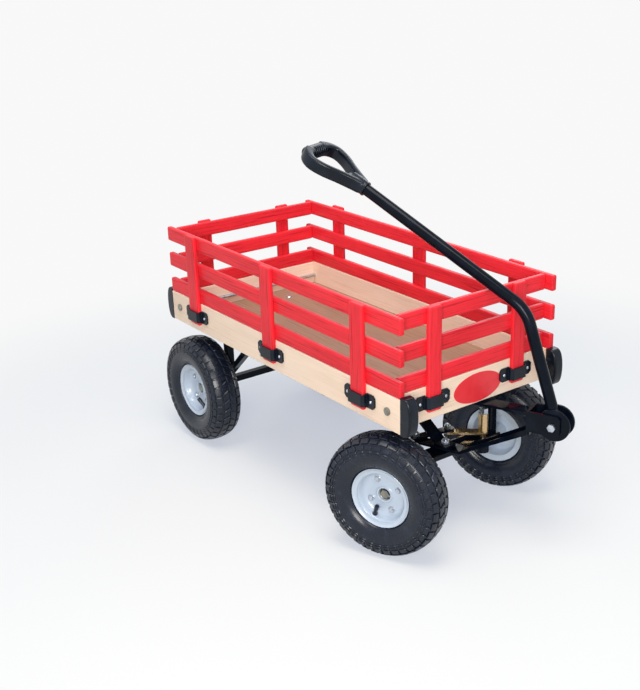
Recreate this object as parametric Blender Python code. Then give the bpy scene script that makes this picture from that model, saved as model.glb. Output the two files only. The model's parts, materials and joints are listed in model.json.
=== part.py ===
"""A wooden pull wagon with lift-off slatted racks, knobbly air tyres and a steering tongue.

Metres, +Z up, +X towards the handle end. The empty named wagon stands on the bed's centre line at
the underside of its boards, and every position below is counted from it. The wheels rest on world
z = 0. The tongue and both front wheels stand turned by STEER, as in the photograph.
"""

import math

import bmesh
import bpy
from mathutils import Matrix, Vector

# General clearances
GAP = 0.0003
SLIP = 0.0005
ROUND_SIDES = 20

# Bed of boards
BED_LENGTH = 0.880
BED_WIDTH = 0.420
BOARD_H = 0.073
BOARD_T = 0.014
END_INSET = 0.0188
FLOOR_T = 0.018
TIE_ROD_R = 0.004
TIE_ROD_Z = 0.038
BOLT_HEAD_R = 0.0085
BOLT_HEAD_T = 0.0035

# Black corner bumpers
CAP_REACH = 0.029
CAP_IN = 0.0235
CAP_OUT = 0.0005
CAP_LOW = -0.001
CAP_H = 0.079
CAP_CORNER_R = 0.004
CAP_FULLNESS = 0.45

# Slatted racks
RAIL_T = 0.013
RAIL_H = 0.0335
RAIL_SPACE = 0.0303
STAKE_T = 0.011
SIDE_STAKE_W = 0.041
END_STAKE_W = 0.034
SIDE_STAKE_IN = 0.122
END_STAKE_Y = 0.114
STAKE_FOOT_Z = 0.020
STAKE_RISE = 0.0025
WOOD_EDGE = 0.0022

# Pockets that hold the stakes
POCKET_Z = 0.0415
EAR_W = 0.0225
EAR_T = 0.0045
EAR_H = 0.030
EAR_CORNER = 0.006
STRAP_H = 0.026
STRAP_T = 0.004
STRAP_CORNER = 0.005
POCKET_PLAY = 0.0012

# Wheels
TYRE_R = 0.132
TYRE_W = 0.080
TYRE_WALL = 0.007
TREAD_W = 0.058
RIM_R = 0.065
RIM_W = 0.054
SEAT_R = 0.054
RIM_T = 0.003
DISC_W = 0.0045
HUB_R = 0.018
HUB_BACK = 0.030
HUB_FRONT = 0.008
RECESS_R = 0.0135
RECESS_DEPTH = 0.010
WHEEL_SIDES = 32

# Running gear
AXLE_DROP = 0.160
AXLE_R = 0.008
AXLE_NUT_R = 0.0100
REAR_AXLE_IN = 0.096
HALF_TRACK = 0.198
AXLE_BAR = 0.016
POST = 0.018
REAR_POST_Y = 0.117
FOOT_T = 0.004
REAR_STAY_REACH = 0.150
STAY_W = 0.016

# Front axle and steering, about the king bolt and the two kingpins
KINGPIN_IN = 0.102
KINGPIN_Y = 0.110
STEER = math.radians(22.5)
STEER_MAX = math.radians(28.0)
CROSSBAR_W = 0.042
CROSSBAR_HALF = 0.142
CROSSBAR_LOW = -0.142
CROSSBAR_H = 0.011
CROSSBAR_T = 0.004
FRONT_POST_Y = 0.1315
KING_BOLT_R = 0.005
KINGPIN_R = 0.007
SLEEVE_R = 0.011
SLEEVE_TOP = -0.082
ARM_BACK = 0.070
ARM_IN = 0.0345
ARM_T = 0.005
ARM_PIN_R = 0.004
TIE_BAR_T = 0.005
TIE_BAR_W = 0.020
TIE_BAR_END = 0.014
BRACE_W = 0.030
BRACE_T = 0.004
BRACE_SLOPE = math.radians(31.0)
BRACE_REACH = 0.035

# Tongue, a fork that turns on the king bolt
TONGUE_W = 0.034
TONGUE_T = 0.005
TAIL_W = 0.028
TOP_BAR_Z = -0.009
CLEVIS_S = 0.188
CLEVIS_IN = 0.020
CLEVIS_T = 0.005
CLEVIS_LOW = -0.041
CHANNEL_END_Z = -0.052
CLEVIS_HIGH = 0.003
PIVOT_S = 0.2426
PIVOT_Z = -0.0206
PIVOT_BOLT_R = 0.005

# Handle
HANDLE_R = 0.012
CHEEK_R = 0.034
CHEEK_IN = 0.011
CHEEK_T = 0.006
CORNER_S = 0.1696
HANDLE_SLOPE = math.radians(29.8)
BEND_R = 0.080
HANDLE_UPPER = 0.408
COLLAR_R = 0.0152
GRIP_OVERLAP = 0.030
GRIP_LENGTH = 0.138
GRIP_HALF = 0.050
GRIP_DEPTH = 0.027
GRIP_BAR_R = 0.0140
GRIP_WEB_END = 0.062

# Values that follow from the ones above
END_FACE_X = BED_LENGTH / 2 - END_INSET
SIDE_STAKE_X = BED_LENGTH / 2 - SIDE_STAKE_IN
REAR_AXLE_X = REAR_AXLE_IN - BED_LENGTH / 2
KINGPIN_X = BED_LENGTH / 2 - KINGPIN_IN
RAIL_TOP = BOARD_H + GAP + 3 * RAIL_H + 2 * RAIL_SPACE
STAKE_TOP = RAIL_TOP + STAKE_RISE
TIE_ROD_X = END_FACE_X - BOARD_T - GAP - TIE_ROD_R
FLANGE_TOP = CROSSBAR_LOW + CROSSBAR_H
ARM_Z = FLANGE_TOP + SLIP
TIE_BAR_Z = ARM_Z + ARM_T + SLIP + 0.0002
BRACE_Z = ARM_Z + TONGUE_T + SLIP
FRONT_REACH = (
    KINGPIN_X
    + (PIVOT_S + CHEEK_R) * math.cos(STEER)
    + (CHEEK_IN + CHEEK_T) * math.sin(STEER)
)
REAR_REACH = TYRE_R - REAR_AXLE_X
BED_X = (REAR_REACH - FRONT_REACH) / 2
BED_Z = TYRE_R + AXLE_DROP


# Meshes: each maker gives a bmesh that holds one closed body


def box(low, high):
    """A box between two opposite corners."""
    bm = bmesh.new()
    size = [b - a for a, b in zip(low, high)]
    centre = [(a + b) / 2 for a, b in zip(low, high)]
    bmesh.ops.create_cube(bm, size=1.0)
    bmesh.ops.transform(
        bm,
        matrix=Matrix.Translation(centre) @ Matrix.Diagonal((*size, 1.0)),
        verts=bm.verts,
    )
    return bm


def loft(rings, closed=False):
    """A body through rings with the same number of points. A closed one joins its last ring to its first."""
    bm = bmesh.new()
    made = [[bm.verts.new(point) for point in ring] for ring in rings]
    pairs = list(zip(made, made[1:]))
    if closed:
        pairs.append((made[-1], made[0]))
    else:
        bm.faces.new(made[0])
        bm.faces.new(made[-1])
    for one, two in pairs:
        for k in range(len(one)):
            after = (k + 1) % len(one)
            bm.faces.new((one[k], one[after], two[after], two[k]))
    bmesh.ops.recalc_face_normals(bm, faces=bm.faces)
    return bm


def prism(outline, axis, low, high):
    """An outline of two coordinates, drawn out along the third axis from low to high."""
    rings = []
    for level in (low, high):
        ring = []
        for a, b in outline:
            point = [a, b]
            point.insert("XYZ".index(axis), level)
            ring.append(point)
        rings.append(ring)
    return loft(rings)


def circle(radius, sides=ROUND_SIDES, centre=(0.0, 0.0), turn=0.0):
    """Points round a circle, in two coordinates."""
    return [
        (
            centre[0] + radius * math.cos(turn + math.tau * k / sides),
            centre[1] + radius * math.sin(turn + math.tau * k / sides),
        )
        for k in range(sides)
    ]


def hole_r(radius, play=GAP, sides=ROUND_SIDES):
    """The corner radius of a hole whose flats clear a round piece of this radius."""
    return (radius + play) / math.cos(math.pi / sides)


def link(start, start_r, end, end_r, sides=10):
    """The outline of a bar in a plane with a round end about each of two points."""
    away = math.atan2(end[1] - start[1], end[0] - start[0])
    points = []
    for centre, radius, facing in ((start, start_r, away + math.pi), (end, end_r, away)):
        for k in range(sides + 1):
            angle = facing - math.pi / 2 + math.pi * k / sides
            points.append(
                (centre[0] + radius * math.cos(angle), centre[1] + radius * math.sin(angle))
            )
    return points


def lathe(profile, sides=WHEEL_SIDES, shift=0.0):
    """A closed profile of (radius, distance along Y) turned about the Y axis. shift turns it on by that share
    of a side."""
    rings = []
    for k in range(sides):
        angle = math.tau * (k + shift) / sides
        rings.append([(r * math.cos(angle), w, r * math.sin(angle)) for r, w in profile])
    return loft(rings, closed=True)


def sweep(path, across, side_r, across_r, sides=14, fullness=1.0):
    """An oval bar along a path that lies in a plane square to across. Radii are one value or one a point.
    A fullness under 1 makes the oval's corners squarer."""
    across = Vector(across)
    path = [Vector(point) for point in path]
    side_r = side_r if isinstance(side_r, list) else [side_r] * len(path)
    across_r = across_r if isinstance(across_r, list) else [across_r] * len(path)
    rings = []
    for k, point in enumerate(path):
        ahead = (path[min(k + 1, len(path) - 1)] - path[max(k - 1, 0)]).normalized()
        side = ahead.cross(across)
        ring = []
        for j in range(sides):
            angle = math.tau * j / sides
            out = math.copysign(abs(math.cos(angle)) ** fullness, math.cos(angle))
            up = math.copysign(abs(math.sin(angle)) ** fullness, math.sin(angle))
            ring.append(point + side * (side_r[k] * out) + across * (across_r[k] * up))
        rings.append(ring)
    return loft(rings)


# Objects


def material(name, colour, roughness, metallic=0.0):
    """A plain Principled material."""
    made = bpy.data.materials.new(name)
    made.use_nodes = True
    surface = made.node_tree.nodes["Principled BSDF"]
    surface.inputs["Base Color"].default_value = (*colour, 1.0)
    surface.inputs["Roughness"].default_value = roughness
    surface.inputs["Metallic"].default_value = metallic
    made.diffuse_color = (*colour, 1.0)
    return made


def empty(name, parent, at=(0.0, 0.0, 0.0), turn_z=0.0):
    """An empty that stands on a joint."""
    made = bpy.data.objects.new(name, None)
    made.empty_display_size = 0.05
    made.location = at
    made.rotation_euler = (0.0, 0.0, turn_z)
    made.parent = parent
    bpy.context.collection.objects.link(made)
    return made


def piece(name, body, surface, parent, at=(0.0, 0.0, 0.0), turn_z=0.0, smooth=None):
    """One named object. body is a bmesh, or a mesh that several pieces share."""
    mesh = body
    if isinstance(body, bmesh.types.BMesh):
        mesh = bpy.data.meshes.new(name)
        body.to_mesh(mesh)
        body.free()
        mesh.materials.append(surface)
    made = bpy.data.objects.new(name, mesh)
    made.location = at
    made.rotation_euler = (0.0, 0.0, turn_z)
    made.parent = parent
    bpy.context.collection.objects.link(made)
    if smooth is not None:
        mesh.shade_smooth()
        mesh.set_sharp_from_angle(angle=math.radians(smooth))
    return made


def combine(bodies, cuts=()):
    """The bodies joined into one, less the cuts, as a new bmesh."""
    helpers = [piece("helper", body, None, None) for body in (*bodies, *cuts)]
    first = helpers[0]
    for k, helper in enumerate(helpers[1:], 1):
        step = first.modifiers.new("step", "BOOLEAN")
        step.operation = "UNION" if k < len(bodies) else "DIFFERENCE"
        step.solver = "EXACT"
        step.object = helper
    graph = bpy.context.evaluated_depsgraph_get()
    joined = bmesh.new()
    joined.from_mesh(first.evaluated_get(graph).to_mesh())
    bmesh.ops.remove_doubles(joined, verts=joined.verts, dist=1e-6)
    bmesh.ops.dissolve_limit(
        joined,
        angle_limit=math.radians(0.05),
        verts=joined.verts,
        edges=joined.edges,
    )
    for helper in helpers:
        mesh = helper.data
        bpy.data.objects.remove(helper)
        bpy.data.meshes.remove(mesh)
    return joined


def eased(body, size=WOOD_EDGE):
    """The body with every sharp edge taken off."""
    sharp = [edge for edge in body.edges if edge.calc_face_angle(0.0) > math.radians(40)]
    bmesh.ops.bevel(
        body,
        geom=sharp,
        offset=size,
        segments=1,
        affect="EDGES",
        profile=0.5,
        clamp_overlap=True,
    )
    return body


for old in list(bpy.data.objects):
    bpy.data.objects.remove(old)

pale_wood = material("pale_wood", (0.82, 0.66, 0.47), 0.45)
floor_wood = material("floor_wood", (0.46, 0.29, 0.19), 0.55)
red_wood = material("red_wood", (0.78, 0.03, 0.05), 0.40)
black_plastic = material("black_plastic", (0.025, 0.030, 0.040), 0.40)
black_paint = material("black_paint", (0.015, 0.016, 0.020), 0.28)
rubber = material("rubber", (0.030, 0.033, 0.038), 0.75)
rim_paint = material("rim_paint", (0.70, 0.75, 0.82), 0.30)
zinc = material("zinc", (0.62, 0.64, 0.66), 0.30, 0.9)
gold_zinc = material("gold_zinc", (0.70, 0.52, 0.28), 0.35, 0.8)

wagon = empty("wagon", None, (BED_X, 0.0, BED_Z))

# Boards and floor. The end boards stand between the side boards, a little inside their ends.
half_width = BED_WIDTH / 2
inner_y = half_width - BOARD_T
rod_hole = hole_r(TIE_ROD_R)
for side, name in ((1, "left"), (-1, "right")):
    board = eased(
        box(
            (-BED_LENGTH / 2, -BOARD_T / 2, 0.0),
            (BED_LENGTH / 2, BOARD_T / 2, BOARD_H),
        )
    )
    drills = [
        prism(circle(rod_hole, centre=(x, TIE_ROD_Z)), "Y", -BOARD_T, BOARD_T)
        for x in (-TIE_ROD_X, TIE_ROD_X)
    ]
    piece(
        f"side_board_{name}",
        combine([board], drills),
        pale_wood,
        wagon,
        (0.0, side * (half_width - BOARD_T / 2), 0.0),
    )
for end, name in ((1, "front"), (-1, "rear")):
    reach = inner_y - GAP
    board = eased(box((-BOARD_T / 2, -reach, 0.0), (BOARD_T / 2, reach, BOARD_H)))
    piece(f"end_board_{name}", board, pale_wood, wagon, (end * (END_FACE_X - BOARD_T / 2), 0.0, 0.0))
floor_x = END_FACE_X - BOARD_T - GAP
floor_y = inner_y - GAP
piece(
    "bed_floor",
    eased(box((-floor_x, -floor_y, 0.0), (floor_x, floor_y, FLOOR_T)), 0.001),
    floor_wood,
    wagon,
)

# Tie rods with a round head outside each side board.
for end, name in ((1, "front"), (-1, "rear")):
    head_in = half_width + GAP
    rod = [
        prism(circle(TIE_ROD_R, 12), "Y", -head_in - 0.001, head_in + 0.001),
        prism(circle(BOLT_HEAD_R, 16), "Y", -head_in - BOLT_HEAD_T, -head_in),
        prism(circle(BOLT_HEAD_R, 16), "Y", head_in, head_in + BOLT_HEAD_T),
    ]
    piece(f"tie_rod_{name}", combine(rod), zinc, wagon, (end * TIE_ROD_X, 0.0, TIE_ROD_Z), smooth=40)


def cap_body(end, side):
    """A bumper on the end of a side board, D-shaped from the side."""
    rings = []
    near = half_width - CAP_IN
    far = half_width + CAP_OUT
    levels = 10
    for k in range(levels + 1):
        turn = math.pi * (0.05 + 0.90 * k / levels)
        z = CAP_LOW + CAP_H / 2 * (1 - math.cos(turn) / math.cos(math.pi * 0.05))
        depth = CAP_REACH * math.sin(turn) ** CAP_FULLNESS
        corner = CAP_CORNER_R
        ring = [
            (GAP, far),
            (depth - corner, far),
            (depth - 0.3 * corner, far - 0.3 * corner),
            (depth, far - corner),
            (depth, near + corner),
            (depth - 0.3 * corner, near + 0.3 * corner),
            (depth - corner, near),
            (GAP, near),
        ]
        rings.append([(end * x, side * y, z) for x, y in ring])
    return loft(rings)


for end, where in ((1, "front"), (-1, "rear")):
    for side, name in ((1, "left"), (-1, "right")):
        piece(
            f"corner_cap_{where}_{name}",
            cap_body(end, side),
            black_plastic,
            wagon,
            (end * BED_LENGTH / 2, 0.0, 0.0),
            smooth=35,
        )


def pocket_body(stake_w):
    """A strap with two screwed ears, lying along X against a face that looks towards -Y."""
    inside = stake_w / 2 + POCKET_PLAY
    outside = inside + STRAP_T
    edge = outside + EAR_W
    depth = GAP + STAKE_T + POCKET_PLAY
    front = depth + STRAP_T
    half = [
        (edge, EAR_T, edge, GAP, EAR_H / 2 - EAR_CORNER),
        (edge - EAR_CORNER, EAR_T, edge - EAR_CORNER, GAP, EAR_H / 2),
        (outside, EAR_T, inside, GAP, EAR_H / 2),
        (outside, front - STRAP_CORNER, inside, depth, STRAP_H / 2),
        (outside - STRAP_CORNER, front, inside - 0.001, depth, STRAP_H / 2),
    ]
    along = [(-u, v, -ui, vi, h) for u, v, ui, vi, h in half] + half[::-1]
    return loft(
        [[(u, -v, h), (u, -v, -h), (ui, -vi, -h), (ui, -vi, h)] for u, v, ui, vi, h in along]
    )


side_pocket = piece(
    "pocket_right_middle",
    pocket_body(SIDE_STAKE_W),
    black_plastic,
    wagon,
    (0.0, -half_width, POCKET_Z),
    smooth=35,
).data
for side, name in ((-1, "right"), (1, "left")):
    for x, where in ((-SIDE_STAKE_X, "rear"), (0.0, "middle"), (SIDE_STAKE_X, "front")):
        if (name, where) != ("right", "middle"):
            piece(
                f"pocket_{name}_{where}",
                side_pocket,
                black_plastic,
                wagon,
                (x, side * half_width, POCKET_Z),
                0.0 if side < 0 else math.pi,
            )
end_pocket = piece(
    "pocket_front_right",
    pocket_body(END_STAKE_W),
    black_plastic,
    wagon,
    (END_FACE_X, -END_STAKE_Y, POCKET_Z),
    math.pi / 2,
    smooth=35,
).data
for end, where in ((1, "front"), (-1, "rear")):
    for side, name in ((-1, "right"), (1, "left")):
        if (where, name) != ("front", "right"):
            piece(
                f"pocket_{where}_{name}",
                end_pocket,
                black_plastic,
                wagon,
                (end * END_FACE_X, side * END_STAKE_Y, POCKET_Z),
                end * math.pi / 2,
            )

# Racks. Each is drawn as on the right-hand side, then turned round to its own side of the bed.
rail_z = [BOARD_H + GAP + k * (RAIL_H + RAIL_SPACE) for k in range(3)]
side_rail = BED_LENGTH / 2
end_rail = half_width - RAIL_T - GAP
racks = (
    ("right", 0.0, half_width, side_rail, SIDE_STAKE_W, (-SIDE_STAKE_X, 0.0, SIDE_STAKE_X)),
    ("left", math.pi, half_width, side_rail, SIDE_STAKE_W, (-SIDE_STAKE_X, 0.0, SIDE_STAKE_X)),
    ("front", math.pi / 2, END_FACE_X, end_rail, END_STAKE_W, (-END_STAKE_Y, END_STAKE_Y)),
    ("rear", -math.pi / 2, END_FACE_X, end_rail, END_STAKE_W, (-END_STAKE_Y, END_STAKE_Y)),
)
for name, turn, face, half_rail, stake_w, stakes in racks:
    outward = Vector((math.sin(turn), -math.cos(turn), 0.0))
    rack = empty(f"rack_{name}", wagon, outward * face, turn)
    rail = None
    for k, z in enumerate(rail_z):
        made = piece(
            f"rail_{name}_{k + 1}",
            rail or eased(box((-half_rail, 0.0, 0.0), (half_rail, RAIL_T, RAIL_H))),
            red_wood,
            rack,
            (0.0, 0.0, z),
        )
        rail = made.data
    stake = None
    for k, x in enumerate(stakes):
        height = STAKE_TOP - STAKE_FOOT_Z
        made = piece(
            f"stake_{name}_{k + 1}",
            stake
            or eased(box((-stake_w / 2, -GAP - STAKE_T, 0.0), (stake_w / 2, -GAP, height))),
            red_wood,
            rack,
            (x, 0.0, STAKE_FOOT_Z),
        )
        stake = made.data

# Wheels. Each profile is (radius, distance outwards from the middle of the tread).
half_tyre = TYRE_W / 2
half_rim = RIM_W / 2
tyre_seat = hole_r(SEAT_R, GAP, WHEEL_SIDES)
tyre_outline = [
    (tyre_seat, half_rim - RIM_T - GAP),
    (RIM_R + 0.001, half_rim - RIM_T - GAP),
    (RIM_R + 0.012, half_tyre - 0.005),
    (TYRE_R - 0.036, half_tyre),
    (TYRE_R - 0.016, half_tyre - 0.003),
    (TYRE_R - 0.004, TREAD_W / 2),
    (TYRE_R, TREAD_W / 5),
]
tyre_lining = [
    (tyre_seat, half_rim - RIM_T - TYRE_WALL),
    (RIM_R + 0.022, half_tyre - TYRE_WALL - 0.002),
    (TYRE_R - 0.030, half_tyre - TYRE_WALL),
    (TYRE_R - 1.8 * TYRE_WALL, TREAD_W / 5),
]
tyre_profile = (
    tyre_outline
    + [(r, -w) for r, w in reversed(tyre_outline)]
    + [(r, -w) for r, w in tyre_lining]
    + tyre_lining[::-1]
)
bore = hole_r(AXLE_R, GAP, WHEEL_SIDES)
rim_profile = [
    (bore, -HUB_BACK),
    (bore, HUB_FRONT - RECESS_DEPTH),
    (RECESS_R, HUB_FRONT - RECESS_DEPTH),
    (RECESS_R, HUB_FRONT),
    (HUB_R, HUB_FRONT),
    (HUB_R + 0.002, DISC_W),
    (SEAT_R - 0.012, DISC_W),
    (SEAT_R - RIM_T, DISC_W + 0.009),
    (RIM_R, half_rim),
    (RIM_R, half_rim - RIM_T),
    (SEAT_R, half_rim - RIM_T - 0.0002),
    (SEAT_R, -half_rim + RIM_T + 0.0002),
    (RIM_R, -half_rim + RIM_T),
    (RIM_R, -half_rim),
    (SEAT_R - RIM_T, -half_rim + 0.002),
    (SEAT_R - RIM_T, DISC_W - 0.006),
    (SEAT_R - 0.012, DISC_W - RIM_T),
    (HUB_R, DISC_W - RIM_T),
    (HUB_R, -HUB_BACK),
]
wheel_meshes = {}


def wheel(name, parent, at, side):
    """A tyre and its rim, with their dished face outwards."""
    turn = 0.0 if side > 0 else math.pi
    for part, profile, surface, shift in (
        ("tyre", tyre_profile, rubber, 0.0),
        ("rim", rim_profile, rim_paint, 0.75),
    ):
        body = wheel_meshes.get(part) or lathe(profile, shift=shift)
        made = piece(f"{part}_{name}", body, surface, parent, at, turn, smooth=35)
        wheel_meshes[part] = made.data


def axle_end(side, start, centre, z):
    """A round axle end from y = start out through a wheel centred on y = centre, with its nut."""
    seat = centre + HUB_FRONT - RECESS_DEPTH + GAP
    ends = sorted((side * start, side * (seat + 0.001)))
    nut = sorted((side * seat, side * (seat + 0.0075)))
    return [
        prism(circle(AXLE_R, centre=(0.0, z)), "Y", *ends),
        prism(circle(AXLE_NUT_R, 6, centre=(0.0, z)), "Y", *nut),
    ]


# Rear frame: a square axle bar through two posts up to the floor, and a stay forwards from each post.
rear_bodies = [
    box(
        (-AXLE_BAR / 2, -HALF_TRACK + HUB_BACK + 0.014, -AXLE_DROP - AXLE_BAR / 2),
        (AXLE_BAR / 2, HALF_TRACK - HUB_BACK - 0.014, -AXLE_DROP + AXLE_BAR / 2),
    )
]
for side in (1, -1):
    y = side * REAR_POST_Y
    rear_bodies += axle_end(side, HALF_TRACK - HUB_BACK - 0.020, HALF_TRACK, -AXLE_DROP)
    rear_bodies.append(
        box(
            (-POST / 2, y - POST / 2, -AXLE_DROP - POST / 2),
            (POST / 2, y + POST / 2, -GAP - FOOT_T / 2),
        )
    )
    low_x = POST / 4
    top_x = REAR_STAY_REACH
    low_z = -AXLE_DROP + POST / 2 + 0.012
    rear_bodies.append(
        prism(
            [
                (low_x, low_z - STAY_W / 2),
                (low_x, low_z + STAY_W / 2),
                (top_x - STAY_W, -GAP - FOOT_T / 2),
                (top_x + STAY_W / 2, -GAP - FOOT_T / 2),
            ],
            "Y",
            y - STAY_W / 2,
            y + STAY_W / 2,
        )
    )
    rear_bodies.append(
        box(
            (-POST / 2 - 0.006, y - POST / 2 - 0.004, -GAP - FOOT_T),
            (top_x + 0.024, y + POST / 2 + 0.004, -GAP),
        )
    )
piece("rear_frame", combine(rear_bodies), black_paint, wagon, (REAR_AXLE_X, 0.0, 0.0), smooth=30)
for side, name in ((1, "left"), (-1, "right")):
    wheel(f"rear_{name}", wagon, (REAR_AXLE_X, side * HALF_TRACK, -AXLE_DROP), side)

# Front frame: a channel on two posts, with the king bolt, a stay back to the floor and the top pivot.
web_top = CROSSBAR_LOW + CROSSBAR_T
half_bar = CROSSBAR_W / 2
front_bodies = [
    box((-half_bar, -CROSSBAR_HALF, CROSSBAR_LOW), (half_bar, CROSSBAR_HALF, web_top)),
    box(
        (-half_bar, -CROSSBAR_HALF, CROSSBAR_LOW),
        (-half_bar + CROSSBAR_T, CROSSBAR_HALF, FLANGE_TOP),
    ),
    box(
        (half_bar - CROSSBAR_T, -CROSSBAR_HALF, CROSSBAR_LOW),
        (half_bar, CROSSBAR_HALF, FLANGE_TOP),
    ),
    box((-half_bar, -CROSSBAR_HALF, -GAP - 0.0033), (half_bar, CROSSBAR_HALF, -GAP)),
]
for side in (1, -1):
    y = side * FRONT_POST_Y
    front_bodies.append(
        box(
            (-POST / 2, y - POST / 2, CROSSBAR_LOW + 0.001),
            (POST / 2, y + POST / 2, -GAP - 0.001),
        )
    )
brace_low = BRACE_Z
rise = -GAP - BRACE_T / 2 - (brace_low + BRACE_T / 2)
bend_x = -half_bar + 0.004
top_x = bend_x - rise / math.tan(BRACE_SLOPE)
half_t = BRACE_T / 2 / math.cos(BRACE_SLOPE)
front_bodies += [
    prism(
        [
            (half_bar - 0.005, brace_low),
            (half_bar - 0.005, brace_low + BRACE_T),
            (bend_x, brace_low + BRACE_T),
            (top_x, -GAP),
            (top_x - BRACE_REACH, -GAP),
            (top_x - BRACE_REACH, -GAP - BRACE_T),
            (top_x - half_t, -GAP - BRACE_T),
            (bend_x - half_t, brace_low),
        ],
        "Y",
        -BRACE_W / 2,
        BRACE_W / 2,
    ),
    prism(circle(KING_BOLT_R), "Z", CROSSBAR_LOW + 0.001, brace_low + BRACE_T + 0.011),
    prism(circle(0.0095, 6), "Z", brace_low + BRACE_T - 0.001, brace_low + BRACE_T + 0.008),
    prism(circle(0.0095, 6), "Z", CROSSBAR_LOW - 0.006, CROSSBAR_LOW + 0.001),
    prism(circle(KING_BOLT_R), "Z", TOP_BAR_Z - 0.0075, -GAP - 0.001),
    prism(circle(0.0095, 6), "Z", TOP_BAR_Z - 0.0070, TOP_BAR_Z - SLIP),
]
kingpin_holes = [
    prism(
        circle(hole_r(KINGPIN_R), centre=(0.0, side * KINGPIN_Y)),
        "Z",
        CROSSBAR_LOW - 0.010,
        FLANGE_TOP + 0.002,
    )
    for side in (1, -1)
]
piece(
    "front_frame",
    combine(front_bodies, kingpin_holes),
    black_paint,
    wagon,
    (KINGPIN_X, 0.0, 0.0),
    smooth=30,
)

# Steering knuckles: kingpin, stub axle, sleeve and an arm back to the tie bar.
tie_top = TIE_BAR_Z + TIE_BAR_T
for side, name in ((1, "left"), (-1, "right")):
    kingpin = empty(f"kingpin_{name}", wagon, (KINGPIN_X, side * KINGPIN_Y, 0.0), STEER)
    stub = HALF_TRACK - KINGPIN_Y
    tip = (-ARM_BACK, -side * ARM_IN)
    shoulder = sorted((0.0, side * (stub - HUB_BACK - 0.001)))
    bodies = [
        prism(circle(0.014), "Z", -AXLE_DROP - 0.014, CROSSBAR_LOW - SLIP),
        prism(circle(KINGPIN_R), "Z", -AXLE_DROP, ARM_Z + 0.001),
        prism(circle(0.0115, centre=(0.0, -AXLE_DROP)), "Y", *shoulder),
        *axle_end(side, 0.0, stub, -AXLE_DROP),
        prism(link((0.0, 0.0), SLEEVE_R, tip, TIE_BAR_W / 2), "Z", ARM_Z, ARM_Z + ARM_T),
        prism(circle(SLEEVE_R), "Z", ARM_Z + 0.001, SLEEVE_TOP),
        prism(circle(0.0100, 6), "Z", SLEEVE_TOP - 0.001, SLEEVE_TOP + 0.012),
        prism(circle(ARM_PIN_R, centre=tip), "Z", ARM_Z + 0.001, tie_top + 0.011),
        prism(circle(0.0080, 6, centre=tip), "Z", tie_top + SLIP, tie_top + 0.0075),
    ]
    piece(f"{name}_spindle", combine(bodies), gold_zinc, kingpin, smooth=30)
    wheel(f"front_{name}", kingpin, (0.0, side * stub, -AXLE_DROP), side)

# Tongue: the tail plate on the king bolt, a fork of a rising channel and a flat top bar, and the clevis.
tongue_pivot = empty("tongue_pivot", wagon, (KINGPIN_X, 0.0, 0.0), STEER)
plate_top = ARM_Z + TONGUE_T
plate_end = half_bar + 0.020
half_tongue = TONGUE_W / 2
clevis_out = CLEVIS_IN + CLEVIS_T
channel = [
    (plate_end - 0.010, ARM_Z),
    (plate_end, ARM_Z),
    (CLEVIS_S + 0.002, CHANNEL_END_Z),
    (CLEVIS_S + 0.002, CHANNEL_END_Z + TONGUE_T),
    (plate_end - 0.002, plate_top),
    (plate_end - 0.010, plate_top),
]
lip = [
    (plate_end + 0.002, plate_top - 0.002),
    (CLEVIS_S + 0.002, CHANNEL_END_Z + 0.002),
    (CLEVIS_S + 0.002, CHANNEL_END_Z + 0.013),
    (plate_end + 0.014, plate_top + 0.011),
    (plate_end - 0.002, plate_top + 0.001),
]
tail_tip = (-ARM_BACK, 0.0)
tongue_bodies = [
    prism(link(tail_tip, TAIL_W / 2, (0.0, 0.0), TAIL_W / 2 + 0.002), "Z", ARM_Z, plate_top),
    box((0.0, -half_tongue, ARM_Z), (plate_end - 0.008, half_tongue, plate_top)),
    prism(channel, "Y", -half_tongue, half_tongue),
    prism(lip, "Y", -half_tongue, -half_tongue + 0.004),
    prism(lip, "Y", half_tongue - 0.004, half_tongue),
    prism(
        link((0.0, 0.0), half_tongue, (CLEVIS_S - 0.015, 0.0), half_tongue),
        "Z",
        TOP_BAR_Z,
        TOP_BAR_Z + TONGUE_T,
    ),
    box(
        (CLEVIS_S - 0.030, -half_tongue, TOP_BAR_Z),
        (CLEVIS_S + 0.002, half_tongue, TOP_BAR_Z + TONGUE_T),
    ),
    box((CLEVIS_S, -clevis_out, CLEVIS_LOW), (CLEVIS_S + CLEVIS_T, clevis_out, CLEVIS_HIGH)),
    box(
        (CLEVIS_S, -half_tongue, CHANNEL_END_Z),
        (CLEVIS_S + CLEVIS_T, half_tongue, CLEVIS_LOW + 0.002),
    ),
]
for side in (1, -1):
    span = sorted((side * CLEVIS_IN, side * clevis_out))
    tongue_bodies.append(
        prism(
            [
                (CLEVIS_S, CLEVIS_LOW),
                (PIVOT_S + 0.010, CLEVIS_LOW),
                (PIVOT_S + 0.016, CLEVIS_LOW + 0.006),
                (PIVOT_S + 0.016, CLEVIS_HIGH - 0.006),
                (PIVOT_S + 0.010, CLEVIS_HIGH),
                (CLEVIS_S, CLEVIS_HIGH),
            ],
            "Y",
            *span,
        )
    )
tongue_bodies += [
    prism(circle(ARM_PIN_R, centre=tail_tip), "Z", ARM_Z + 0.001, tie_top + 0.011),
    prism(circle(0.0080, 6, centre=tail_tip), "Z", tie_top + SLIP, tie_top + 0.0075),
]
tongue_cuts = [
    prism(circle(hole_r(KING_BOLT_R)), "Z", ARM_Z - 0.010, plate_top + 0.010),
    prism(circle(hole_r(KING_BOLT_R)), "Z", TOP_BAR_Z - 0.010, TOP_BAR_Z + 0.020),
    prism(
        circle(hole_r(PIVOT_BOLT_R), centre=(PIVOT_S, PIVOT_Z)),
        "Y",
        -clevis_out - 0.010,
        clevis_out + 0.010,
    ),
]
piece("tongue", combine(tongue_bodies, tongue_cuts), black_paint, tongue_pivot, smooth=30)

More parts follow.
